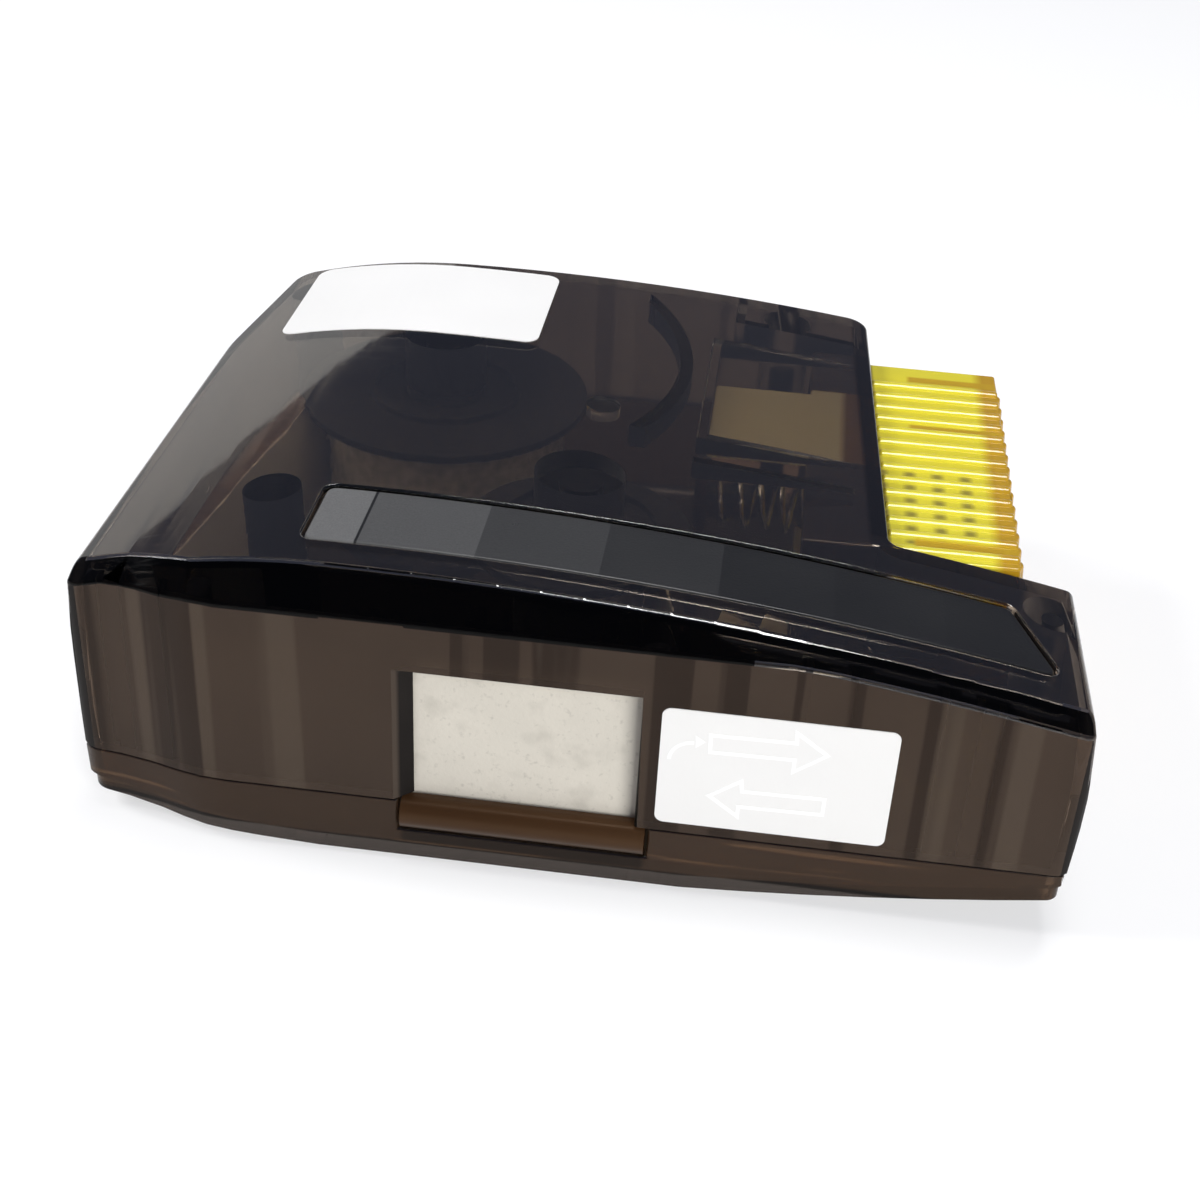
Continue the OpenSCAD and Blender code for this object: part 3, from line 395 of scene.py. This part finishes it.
bpy.ops.object.mode_set(mode="OBJECT")
bpy.ops.object.shade_smooth_by_angle(angle=math.radians(50))
coil.data.materials.append(bright_steel)
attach(coil, "case")
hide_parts("return_spring")
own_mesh(coil)

# The felt ring under the supply reel keeps it from overrunning. It is punched from thick red felt, so its
# edges are full and its face is fuzzy.
felt_at, felt_z = (-0.026, 0.020), (0.00780, 0.00865)
felt_in_r, felt_out_r = 0.00275, 0.00548
felt_middle = (felt_in_r + felt_out_r) / 2
felt_half = (felt_out_r - felt_in_r) / 2
felt_mid_z = (felt_z[0] + felt_z[1]) / 2
felt_full = 0.96
felt_thick_half = (felt_z[1] - felt_z[0]) / 2 * felt_full
fuller_by = 0.45
lumps, lump_depth = 9, 0.03
bpy.ops.object.select_all(action="DESELECT")
bpy.ops.mesh.primitive_torus_add(location=(0, 0, 0), major_segments=64, minor_segments=20,
                                 major_radius=felt_middle, minor_radius=felt_half)
felt_ring = bpy.context.object
felt_ring.name = "felt_ring"
for point in felt_ring.data.vertices:
    x, y, z = point.co
    far = math.hypot(x, y)
    across = (far - felt_middle) / felt_half
    up = z / felt_half
    fuller = 1 / max(abs(across), abs(up), 0.01) ** fuller_by
    lump = 1 + lump_depth * math.sin(lumps * math.atan2(y, x)) * abs(up)
    wide = felt_middle + felt_half * max(-1, min(1, across * fuller))
    point.co = (felt_at[0] + x / far * wide, felt_at[1] + y / far * wide,
                felt_mid_z + felt_thick_half * max(-1, min(1, up * fuller)) * lump)
bpy.ops.object.shade_smooth()
felt_ring.data.materials.append(moulded("red_felt", (0.26, 0.03, 0.02), 0.25, 0.9, 2200, 0.9, sheen=0.3))
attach(felt_ring, "case")
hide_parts("drag_washer")

# The two reels are moulded from dark brown plastic. Each drops over its spindle and is held down by a cap,
# and the small one carries the ivory ratchet under it.
dark_moulding = moulded("dark_moulding", (0.016, 0.014, 0.013), 0.2, 0.60, 3000, 0.25)
ivory_moulding = moulded("ivory_moulding", (0.66, 0.60, 0.46), 0.05, 0.42, 2500, 0.2)
dress(dark_moulding, "supply_reel", "takeup_reel", "supply_cap", "takeup_cap")
dress(ivory_moulding, "ratchet_wheel")

# The tape wound on them is a fine white microfibre cloth, slit to width and wound tight. From above, its
# turns show as thin rings.
reel_middles = {"supply_tape": (-0.026, 0.020), "takeup_tape": (-0.003, -0.014)}
for name, (x, y) in reel_middles.items():
    wound = moulded(name + "_cloth", (0.80, 0.76, 0.66), 0.05, 0.75, 5200, 0.7, sheen=0.1)
    tree = wound.node_tree
    face = tree.nodes["Principled BSDF"]
    centre = tree.nodes.new("ShaderNodeMapping")
    centre.inputs["Location"].default_value = (-x, -y, 0)
    turns = tree.nodes.new("ShaderNodeTexWave")
    turns.wave_type = "RINGS"
    turns.rings_direction = "Z"
    turns.inputs["Scale"].default_value = 700
    turns.inputs["Distortion"].default_value = 1.5
    turns.inputs["Detail"].default_value = 2
    shade = tree.nodes.new("ShaderNodeValToRGB")
    shade.color_ramp.elements[0].color = (0.50, 0.47, 0.40, 1)
    shade.color_ramp.elements[1].color = (0.84, 0.80, 0.70, 1)
    tree.links.new(tree.nodes["Texture Coordinate"].outputs["Object"], centre.inputs["Vector"])
    tree.links.new(centre.outputs["Vector"], turns.inputs["Vector"])
    tree.links.new(turns.outputs["Fac"], shade.inputs["Fac"])
    tree.links.new(shade.outputs["Color"], face.inputs["Base Color"])
    tree.links.new(turns.outputs["Fac"], tree.nodes["Bump"].inputs["Height"])
    dress(wound, name)

# The stretch of tape between the reels runs tight round the pins and over the pad, a woven ribbon 15.5 mm
# wide. Each stop is a place the tape bends at, with the radius it bends to.
tape_low, tape_wide, tape_thick = 0.0103, 0.0155, 0.00018
tape_off, bend_step = 0.14, math.radians(6)
tape_stops = [((-26, 20), 16.85), ((-47.6, -31), 2.15), ((-30.5, -37.9), 2.15), ((-14.6, -39.8), 1.55),
              ((6, -39.8), 1.55), ((9.4, -34.5), 2.15), ((-3, -14), 8.85)]


def leaving(first, second):
    (ax, ay), ar = first
    (bx, by), br = second
    way = Vector((bx - ax, by - ay))
    lean = (ar - br) / way.length
    way.normalize()
    return way * lean + Vector((way.y, -way.x)) * math.sqrt(1 - lean * lean)


tape_line = []
for i, (middle, radius) in enumerate(tape_stops):
    first = leaving(tape_stops[max(i, 1) - 1], tape_stops[max(i, 1)])
    last = leaving(tape_stops[min(i, len(tape_stops) - 2)], tape_stops[min(i, len(tape_stops) - 2) + 1])
    bends = 0 < i < len(tape_stops) - 1
    turn = math.atan2(first.x * last.y - first.y * last.x, first.dot(last)) if bends else 0
    steps = max(1, math.ceil(abs(turn) / bend_step))
    for j in range(steps + 1 if turn else 1):
        angle = turn * j / steps
        spoke = Vector((first.x * math.cos(angle) - first.y * math.sin(angle),
                        first.x * math.sin(angle) + first.y * math.cos(angle)))
        tape_line.append((Vector(middle) + spoke * (radius + tape_off)) / 1000)
tape_rows = 6
points, tape_uv = [], []
tape_length = 0
for i, at in enumerate(tape_line):
    tape_length += (at - tape_line[i - 1]).length if i else 0
    for row in range(tape_rows + 1):
        up = row / tape_rows * tape_wide
        points.append((at.x, at.y, tape_low + up))
        tape_uv.append((tape_length, up))
quads = [(i * (tape_rows + 1) + row, (i + 1) * (tape_rows + 1) + row, (i + 1) * (tape_rows + 1) + row + 1,
          i * (tape_rows + 1) + row + 1) for i in range(len(tape_line) - 1) for row in range(tape_rows)]
ribbon_mesh = bpy.data.meshes.new("tape_ribbon")
ribbon_mesh.from_pydata(points, [], quads)
ribbon_mesh.uv_layers.new(name="woven")
for loop in ribbon_mesh.loops:
    ribbon_mesh.uv_layers["woven"].data[loop.index].uv = tape_uv[loop.vertex_index]
ribbon = bpy.data.objects.new("tape_ribbon", ribbon_mesh)
bpy.context.scene.collection.objects.link(ribbon)
bpy.ops.object.select_all(action="DESELECT")
bpy.context.view_layer.objects.active = ribbon
ribbon.select_set(True)
bpy.ops.object.modifier_add(type="SOLIDIFY")
ribbon.modifiers[-1].thickness = tape_thick
ribbon.modifiers[-1].offset = 0
bpy.ops.object.modifier_apply(modifier=ribbon.modifiers[-1].name)
bpy.ops.object.shade_smooth_by_angle(angle=math.radians(40))
weave = moulded("woven_tape", (0.80, 0.76, 0.66), 0.05, 0.75, 5200, 0.12, sheen=0.1)
tree = weave.node_tree
along = tree.nodes.new("ShaderNodeUVMap")
along.uv_map = "woven"
warp = tree.nodes.new("ShaderNodeTexWave")
weft = tree.nodes.new("ShaderNodeTexWave")
weft.bands_direction = "Y"
cross = tree.nodes.new("ShaderNodeMath")
cross.operation = "MULTIPLY"
for threads in (warp, weft):
    threads.inputs["Scale"].default_value = 1000
    threads.inputs["Distortion"].default_value = 0.4
    tree.links.new(along.outputs["UV"], threads.inputs["Vector"])
tree.links.new(warp.outputs["Fac"], cross.inputs[0])
tree.links.new(weft.outputs["Fac"], cross.inputs[1])
tree.links.new(cross.outputs[0], tree.nodes["Bump"].inputs["Height"])
ribbon.data.materials.append(weave)
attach(ribbon, "case")
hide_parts("tape_web")

# The wiping pad is a block of soft foam glued to its black holder behind the window. It is crowned a little,
# its sides pull in, and its corners are round.
pad_x, pad_y, pad_z = (-0.0161, 0.0075), (-0.0413, -0.0395), (0.0106, 0.0255)
pad_middle = [(a + b) / 2 for a, b in (pad_x, pad_y, pad_z)]
pad_half = [(b - a) / 2 for a, b in (pad_x, pad_y, pad_z)]
bpy.ops.object.select_all(action="DESELECT")
bpy.ops.mesh.primitive_cube_add(size=2, location=(0, 0, 0))
pad = bpy.context.object
pad.name = "wiping_pad"
bpy.ops.object.mode_set(mode="EDIT")
bpy.ops.mesh.select_all(action="SELECT")
bpy.ops.mesh.subdivide(number_cuts=23)
bpy.ops.object.mode_set(mode="OBJECT")
for point in pad.data.vertices:
    x, y, z = point.co
    edge = max(abs(x), abs(z))
    crown = 1 - 0.22 * (1 - (1 - x ** 8) * (1 - z ** 6)) if y < 0 else 1
    pull = 1 - 0.012 * (1 - y * y) * (edge ** 12)
    corner = 1 - 0.02 * (x * z) ** 6
    point.co = (pad_middle[0] + pad_half[0] * x * pull * corner, pad_middle[1] + pad_half[1] * y * crown,
                pad_middle[2] + pad_half[2] * z * pull * corner)
bpy.ops.object.shade_smooth_by_angle(angle=math.radians(50))
pad.data.materials.append(moulded("pad_foam", (0.66, 0.63, 0.56), 0.08, 0.8, 2600, 0.8))
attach(pad, "case")
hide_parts("cleaning_pad")
black_moulding = moulded("black_moulding", (0.018, 0.017, 0.017), 0.2, 0.38, 3000, 0.3)
dress(black_moulding, "pad_holder", "shutter_guide")

# The shutter slides across behind the window: a plate of aluminium, bead-blasted and much handled, so it is
# mottled a warm grey with a few darker specks. Its rack is ivory plastic.
plate = moulded("blasted_plate", (0.62, 0.58, 0.50), 0.05, 0.55, 2400, 0.35)
tree = plate.node_tree
face = tree.nodes["Principled BSDF"]
place = tree.nodes["Texture Coordinate"]
speck = tree.nodes.new("ShaderNodeTexNoise")
speck.inputs["Scale"].default_value = 1500
speck.inputs["Detail"].default_value = 3
speck_only = tree.nodes.new("ShaderNodeMapRange")
speck_only.inputs["From Min"].default_value = 0.60
speck_only.inputs["From Max"].default_value = 0.74
speck_only.inputs["To Max"].default_value = 0.30
stain = tree.nodes.new("ShaderNodeTexNoise")
stain.inputs["Scale"].default_value = 210
stain.inputs["Detail"].default_value = 4
stain_only = tree.nodes.new("ShaderNodeMapRange")
stain_only.inputs["From Min"].default_value = 0.54
stain_only.inputs["From Max"].default_value = 0.80
stain_only.inputs["To Max"].default_value = 0.40
darker = tree.nodes.new("ShaderNodeMath")
darker.operation = "MAXIMUM"
marked = tree.nodes.new("ShaderNodeMix")
marked.data_type = "RGBA"
marked.inputs["B"].default_value = (0.26, 0.24, 0.20, 1)
tree.links.new(place.outputs["Object"], speck.inputs["Vector"])
tree.links.new(place.outputs["Object"], stain.inputs["Vector"])
tree.links.new(speck.outputs["Fac"], speck_only.inputs["Value"])
tree.links.new(stain.outputs["Fac"], stain_only.inputs["Value"])
tree.links.new(speck_only.outputs["Result"], darker.inputs[0])
tree.links.new(stain_only.outputs["Result"], darker.inputs[1])
tree.links.new(darker.outputs[0], marked.inputs["Factor"])
tree.links.new(tree.nodes["Color Ramp"].outputs["Color"], marked.inputs["A"])
tree.links.new(marked.outputs["Result"], face.inputs["Base Color"])
dress(plate, "shutter_plate")
dress(ivory_moulding, "shutter_rack", "drive_gear", "shutter_pinion", "drive_rack")

# The two pawls of the take-up ratchet are moulded from red plastic, each in one piece with its spring. They
# stand just off the ratchet's teeth.
dress(moulded("red_moulding", (0.48, 0.05, 0.03), 0.08, 0.4, 2500, 0.2), "drive_pawl", "stop_pawl")

# The bar under the window is a round-nosed rod of brown transparent plastic, set into the tray's front
# edge. The connector is guided along it.
dress(clear_plastic("brown_bar", (0.060, 0.028, 0.011), (0.085, 0.042, 0.018), 0.30, refraction=1.36,
                    mirror=(1, 0.7, 0.5), clear=0.5), "window_rail")

# The trigger is one moulding in clear lemon plastic, ribbed across for the finger and hollow below, with
# three deeper gussets. Its arm to the stepped gear is the same plastic.
lemon = clear_plastic("lemon_trigger", (0.95, 0.83, 0.045), (0.98, 0.89, 0.08), 0.07, clear=0.40)
amber = clear_plastic("amber_gusset", (0.72, 0.42, 0.03), (0.80, 0.50, 0.05), 0.14, clear=0.45)
trigger = softened("trigger", "ribbed_trigger", "trigger")
ribbed = clear_plastic("ribbed_lemon", (0.95, 0.83, 0.045), (0.98, 0.89, 0.08), 0.07, clear=0.40)
gusset_y = ((-0.0142, -0.0128), (0.0163, 0.0177), (0.0313, 0.0327))
gusset_x, end_wall_x = 0.0374, 0.0475


def beats(made, way, pitch, peak):
    tree = made.node_tree
    along = spread(made, way, peak - pitch / 4, peak - pitch / 4 + pitch)
    along.node.clamp = False
    turned = tree.nodes.new("ShaderNodeMath")
    turned.operation = "MULTIPLY"
    turned.inputs[1].default_value = math.tau
    wave = tree.nodes.new("ShaderNodeMath")
    wave.operation = "SINE"
    share = tree.nodes.new("ShaderNodeMapRange")
    share.inputs["From Min"].default_value = -0.35
    share.inputs["From Max"].default_value = 0.95
    tree.links.new(along, turned.inputs[0])
    tree.links.new(turned.outputs[0], wave.inputs[0])
    tree.links.new(wave.outputs[0], share.inputs["Value"])
    return share.outputs["Result"]


notch_lean, notch_line, nose_y = 0.0447, 0.03364, -0.0171
painted_dots_x, painted_dots_y, painted_dots_y_ends = (0.00355, 0.0374), (0.003445, 0.0002), ((0.0050, 0.0042), (-0.0142, -0.0136))
across, back = side_to_side, front_to_back
beside_notch = (1, notch_lean, 0)
painted_shade_under_top = spread(ribbed, beside_notch, notch_line + 0.0008, notch_line)
# Rows of dark olive dots, one between each pair of ribs, are painted: a painted image of the ribs below, seen
# through the clear plastic and reflected in it.
tinted_where(ribbed, (0.36, 0.31, 0.05), beats(ribbed, across, *painted_dots_x), beats(ribbed, back, *painted_dots_y),
             spread(ribbed, back, *painted_dots_y_ends[0]), spread(ribbed, back, *painted_dots_y_ends[1]),
             spread(ribbed, across, end_wall_x - 0.0003, end_wall_x - 0.0006))
tinted_where(ribbed, (0.62, 0.37, 0.02), spread(ribbed, across, end_wall_x - 0.0008, end_wall_x + 0.0007))
for low, high in gusset_y:
    tinted_where(ribbed, (0.66, 0.42, 0.02), spread(ribbed, back, low - 0.0004, low + 0.0001),
                 spread(ribbed, back, high + 0.0004, high - 0.0001),
                 spread(ribbed, across, gusset_x, gusset_x + 0.0006))
# Inside the case, under the smoked top, the trigger is painted a darker brown, and near-black towards its
# front and back: painted shade under the top.
tinted_where(ribbed, (0.30, 0.18, 0.06), painted_shade_under_top)
tinted_where(ribbed, (0.045, 0.03, 0.02), painted_shade_under_top, spread(ribbed, back, 0.0032, 0.0024))
tinted_where(ribbed, (0.10, 0.07, 0.045), painted_shade_under_top, spread(ribbed, back, 0.0228, 0.0236))
# The tongue between them, inside the case, is painted a pale lemon: painted light, as if lit through the top
# and from the table below.
tinted_where(ribbed, (0.96, 0.90, 0.58), spread(ribbed, across, 0.0290, 0.0280),
             spread(ribbed, back, 0.0030, 0.0034), spread(ribbed, back, 0.0232, 0.0228))
for plastic in (ribbed, amber):
    trigger.data.materials.append(plastic)
for side in trigger.data.polygons:
    if side.center.x > end_wall_x and side.normal.x > 0.7:
        side.material_index = 1
rib_end_x, rib_low_z = (0.0346, 0.0353), 0.0303
for point in trigger.data.vertices:
    if rib_end_x[0] < point.co.x < rib_end_x[1] and point.co.z > rib_low_z:
        point.co.x -= notch_lean * (point.co.y - nose_y)
dress(lemon, "link_rack")


# The upper shell: the same smoked plastic, with its sloped band along the front painted near-black as shade.
# It closes down over the tray and everything above.
smoked_top = clear_plastic("smoked_top", (0.58, 0.50, 0.41), (0.65, 0.565, 0.47), 0.03)
shaded_smoked_band = clear_plastic("shaded_smoked_band", (0.002, 0.0017, 0.0015), (0.003, 0.0025, 0.002), 0.03,
                            refraction=1.22)
smoked_wall = clear_plastic("smoked_wall", (0.20, 0.135, 0.095), (0.25, 0.175, 0.125), 0.04,
                            refraction=1.27, mirror=(1, 0.80, 0.70), clear=0.85)
# The walls carry thin upright streaks, darker and lighter: painted shadows and painted light lines standing
# for ribs behind the walls.
tinted_where(smoked_wall, (0.10, 0.065, 0.045), streaks(smoked_wall, (230, 230, 4), 0.56, 0.60))
tinted_where(smoked_wall, (0.34, 0.25, 0.18), streaks(smoked_wall, (150, 150, 3), 0.62, 0.66))
# A dark band on the top just inside the notch's edge is painted shade, for the notch wall seen end-on.
tinted_where(smoked_top, (0.10, 0.08, 0.07),
             spread(smoked_top, beside_notch, notch_line - 0.0026, notch_line - 0.0020),
             spread(smoked_top, beside_notch, notch_line + 0.0006, notch_line + 0.0004),
             spread(smoked_top, back, nose_y - 0.0002, nose_y + 0.0006))
# The window's left reveal and the case's front corner facets are painted near-black as shade, except a brown
# band along the reveal's outer mitre.
reveal = moulded("shaded_reveal", (0.013, 0.011, 0.010), 0.2, 0.6, 2000, 0.1)
reveal.node_tree.nodes["Principled BSDF"].inputs["Specular IOR Level"].default_value = 0.1
tinted_where(reveal, (0.060, 0.046, 0.036), spread(reveal, across, -0.0184, -0.0188),
             spread(reveal, across, -0.0230, -0.0225))
# Faces hidden under the top, the ribs, pillars and cups inside, take a near-black, rough copy of the smoked
# plastic: painted shade under the top.
shaded_smoked_rib = clear_plastic("shaded_smoked_rib", (0.012, 0.010, 0.008), (0.020, 0.016, 0.013), 0.45, refraction=1.30)
polished_ridge = clear_plastic("polished_ridge", (0.30, 0.27, 0.24), (0.36, 0.32, 0.28), 0.10,
                               refraction=2.6)
hood = softened("upper_shell", "smoked_hood", "case")
for plastic in (smoked_top, shaded_smoked_band, smoked_wall, shaded_smoked_rib, reveal, polished_ridge):
    hood.data.materials.append(plastic)
top_at, band_at, wall_at, rib_at, reveal_at, ridge_at = range(6)
band_y, band_z = -0.030, 0.0275
thickest_clear = 0.0026
bevel_area = 1e-6
slope_foot_x, slope_foot_y, slope_foot_z = 0.021, -0.038, (0.030, 0.0331)
slope_corner_x, slope_corner_z = -0.040, (0.0330, 0.0352)
ridge_y, ridge_z = -0.036, 0.0291
ridge_out_y, ridge_out_z = (-0.75, -0.1), (0.62, 0.98)
case_side_x = 0.0568
window_back_y, window_x = -0.0415, (-0.021, -0.015)
upright_out, slope_out, corner_out, reveal_out, corner_slope_out = 0.3, 0.3, 0.35, 0.4, 0.5
form = bmesh.new()
form.from_mesh(hood.data)
solid = BVHTree.FromBMesh(form)
form.free()
for side in hood.data.polygons:
    at, out = side.center, side.normal
    inside = solid.ray_cast(at - out * just_off, -out)[3] or 0
    hidden = solid.ray_cast(at + out * just_off, Vector(upwards))[0] is not None
    if side.area < bevel_area:
        at_foot = (at.x < slope_foot_x and at.y < slope_foot_y
                   and slope_foot_z[0] < at.z < slope_foot_z[1])
        at_corner = (at.x < slope_corner_x and out.y < -corner_slope_out
                     and slope_corner_z[0] < at.z < slope_corner_z[1])
        at_ridge = (at.y < ridge_y and at.z > ridge_z and ridge_out_y[0] < out.y < ridge_out_y[1]
                    and ridge_out_z[0] < out.z < ridge_out_z[1])
        side.material_index = band_at if at_foot or at_corner else ridge_at if at_ridge else top_at
        continue
    if out.x > reveal_out and at.y < window_back_y and window_x[0] < at.x < window_x[1]:
        side.material_index = reveal_at
    elif abs(out.x) > corner_out and out.y < -corner_out and abs(out.z) < corner_out and not hidden:
        side.material_index = reveal_at
    elif out.y < -slope_out and out.z > slope_out and at.y < band_y and at.z > band_z:
        side.material_index = band_at
    elif abs(out.z) < upright_out and abs(at.x) > case_side_x:
        side.material_index = wall_at
    elif hidden and (abs(out.z) < upright_out or inside > thickest_clear):
        side.material_index = rib_at
    elif abs(out.z) < upright_out:
        side.material_index = wall_at


# The strip let into the top is a printed film under a clear coat: grey blocks with a metallic grain, the
# lightest at the left, fading to black at the pointed end.
strip_x = (-0.031, 0.053)
strip_blocks = ((0.0, 0.115), (0.068, 0.005), (0.073, 0.064), (0.23, 0.034), (0.393, 0.019), (0.55, 0.009),
                (0.70, 0.007), (0.85, 0.006))
film = moulded("printed_film", (0.3, 0.3, 0.3), 0.03, 0.30, 3500, 0.15)
tree = film.node_tree
face = tree.nodes["Principled BSDF"]
place = tree.nodes["Texture Coordinate"]
parts = tree.nodes.new("ShaderNodeSeparateXYZ")
along = tree.nodes.new("ShaderNodeMapRange")
along.inputs["From Min"].default_value, along.inputs["From Max"].default_value = strip_x
blocks = tree.nodes.new("ShaderNodeValToRGB")
blocks.color_ramp.interpolation = "CONSTANT"
blocks.color_ramp.elements.remove(blocks.color_ramp.elements[1])
for spot, grey in strip_blocks:
    step = blocks.color_ramp.elements[0] if spot == 0 else blocks.color_ramp.elements.new(spot)
    step.color = (grey, grey, grey * 0.98, 1)
flake = tree.nodes.new("ShaderNodeTexNoise")
flake.inputs["Scale"].default_value = 6000
flake.inputs["Detail"].default_value = 2
flake_range = tree.nodes.new("ShaderNodeMapRange")
flake_range.inputs["To Min"].default_value = 0.55
flake_range.inputs["To Max"].default_value = 1.45
grained = tree.nodes.new("ShaderNodeVectorMath")
grained.operation = "SCALE"
tree.links.new(place.outputs["Object"], parts.inputs["Vector"])
tree.links.new(parts.outputs["X"], along.inputs["Value"])
tree.links.new(along.outputs["Result"], blocks.inputs["Fac"])
tree.links.new(place.outputs["Object"], flake.inputs["Vector"])
tree.links.new(flake.outputs["Fac"], flake_range.inputs["Value"])
tree.links.new(blocks.outputs["Color"], grained.inputs[0])
tree.links.new(flake_range.outputs["Result"], grained.inputs["Scale"])
tree.links.new(grained.outputs["Vector"], face.inputs["Base Color"])
strip = softened("accent_strip", "printed_strip", "case")
strip.data.materials.append(film)

# Both labels are cut from white self-adhesive paper with round corners, stuck to the top and to the front
# wall, and left bare.
paper = moulded("label_paper", (0.80, 0.79, 0.765), 0.01, 0.55, 1800, 0.12)
dress(paper, "rear_label", "front_label")

# The front label has three plain arrows in raised white ink: one each way for the wiping stroke, and a
# curved one for turning the connector over.
ink = moulded("white_ink", (0.90, 0.90, 0.89), 0.01, 0.45, 1500, 0.1)
label_face = -0.04562
ink_thick = 0.00004
ink_line = 0.00042
ink_start_r = 0.003


def inked(piece, outline_only):
    bpy.ops.object.mode_set(mode="EDIT")
    bpy.ops.mesh.select_all(action="SELECT")
    if outline_only:
        bpy.ops.mesh.inset(thickness=ink_line, use_boundary=True)
        bpy.ops.mesh.delete(type="FACE")
        bpy.ops.mesh.select_all(action="SELECT")
    bpy.ops.mesh.extrude_region_move(TRANSFORM_OT_translate={"value": (0, -ink_thick, 0)})
    bpy.ops.mesh.select_all(action="SELECT")
    bpy.ops.mesh.normals_make_consistent(inside=False)
    bpy.ops.object.mode_set(mode="OBJECT")
    piece.data.materials.append(ink)
    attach(piece, "case")


def outline(name, corners, outline_only):
    bpy.ops.object.select_all(action="DESELECT")
    bpy.ops.mesh.primitive_circle_add(vertices=len(corners), radius=ink_start_r, fill_type="NGON",
                                      location=(0, 0, 0))
    piece = bpy.context.object
    piece.name = name
    for point, (x, z) in zip(piece.data.vertices, corners):
        point.co = (x / 1000, label_face, z / 1000)
    inked(piece, outline_only)
    return piece


outline("arrow_right", [(15.9, 23.1), (25.2, 23.3), (25.1, 24.9), (29.2, 21.9), (25.2, 18.8), (25.2, 20.6),
                        (16.0, 20.4)], True)
outline("arrow_left", [(29.4, 16.1), (20.3, 15.9), (20.1, 17.5), (16.2, 14.6), (20.1, 11.7), (20.1, 13.3),
                       (29.4, 13.5)], True)
outline("arrow_turn_head", [(14.5, 22.6), (15.6, 21.9), (14.6, 21.0)], False)
turn_at, turn_r, turn_w = (14.3, 19.1), 2.5, 0.42
turn_from, turn_sweep, turn_steps = 180, 92, 12
turn_points = []
for side in (turn_r - turn_w / 2, turn_r + turn_w / 2):
    line = [(turn_at[0] + side * math.cos(math.radians(a)), turn_at[1] + side * math.sin(math.radians(a)))
            for a in [turn_from - i * turn_sweep / turn_steps for i in range(turn_steps + 1)]]
    turn_points += line if not turn_points else line[::-1]
outline("arrow_turn", turn_points, False)
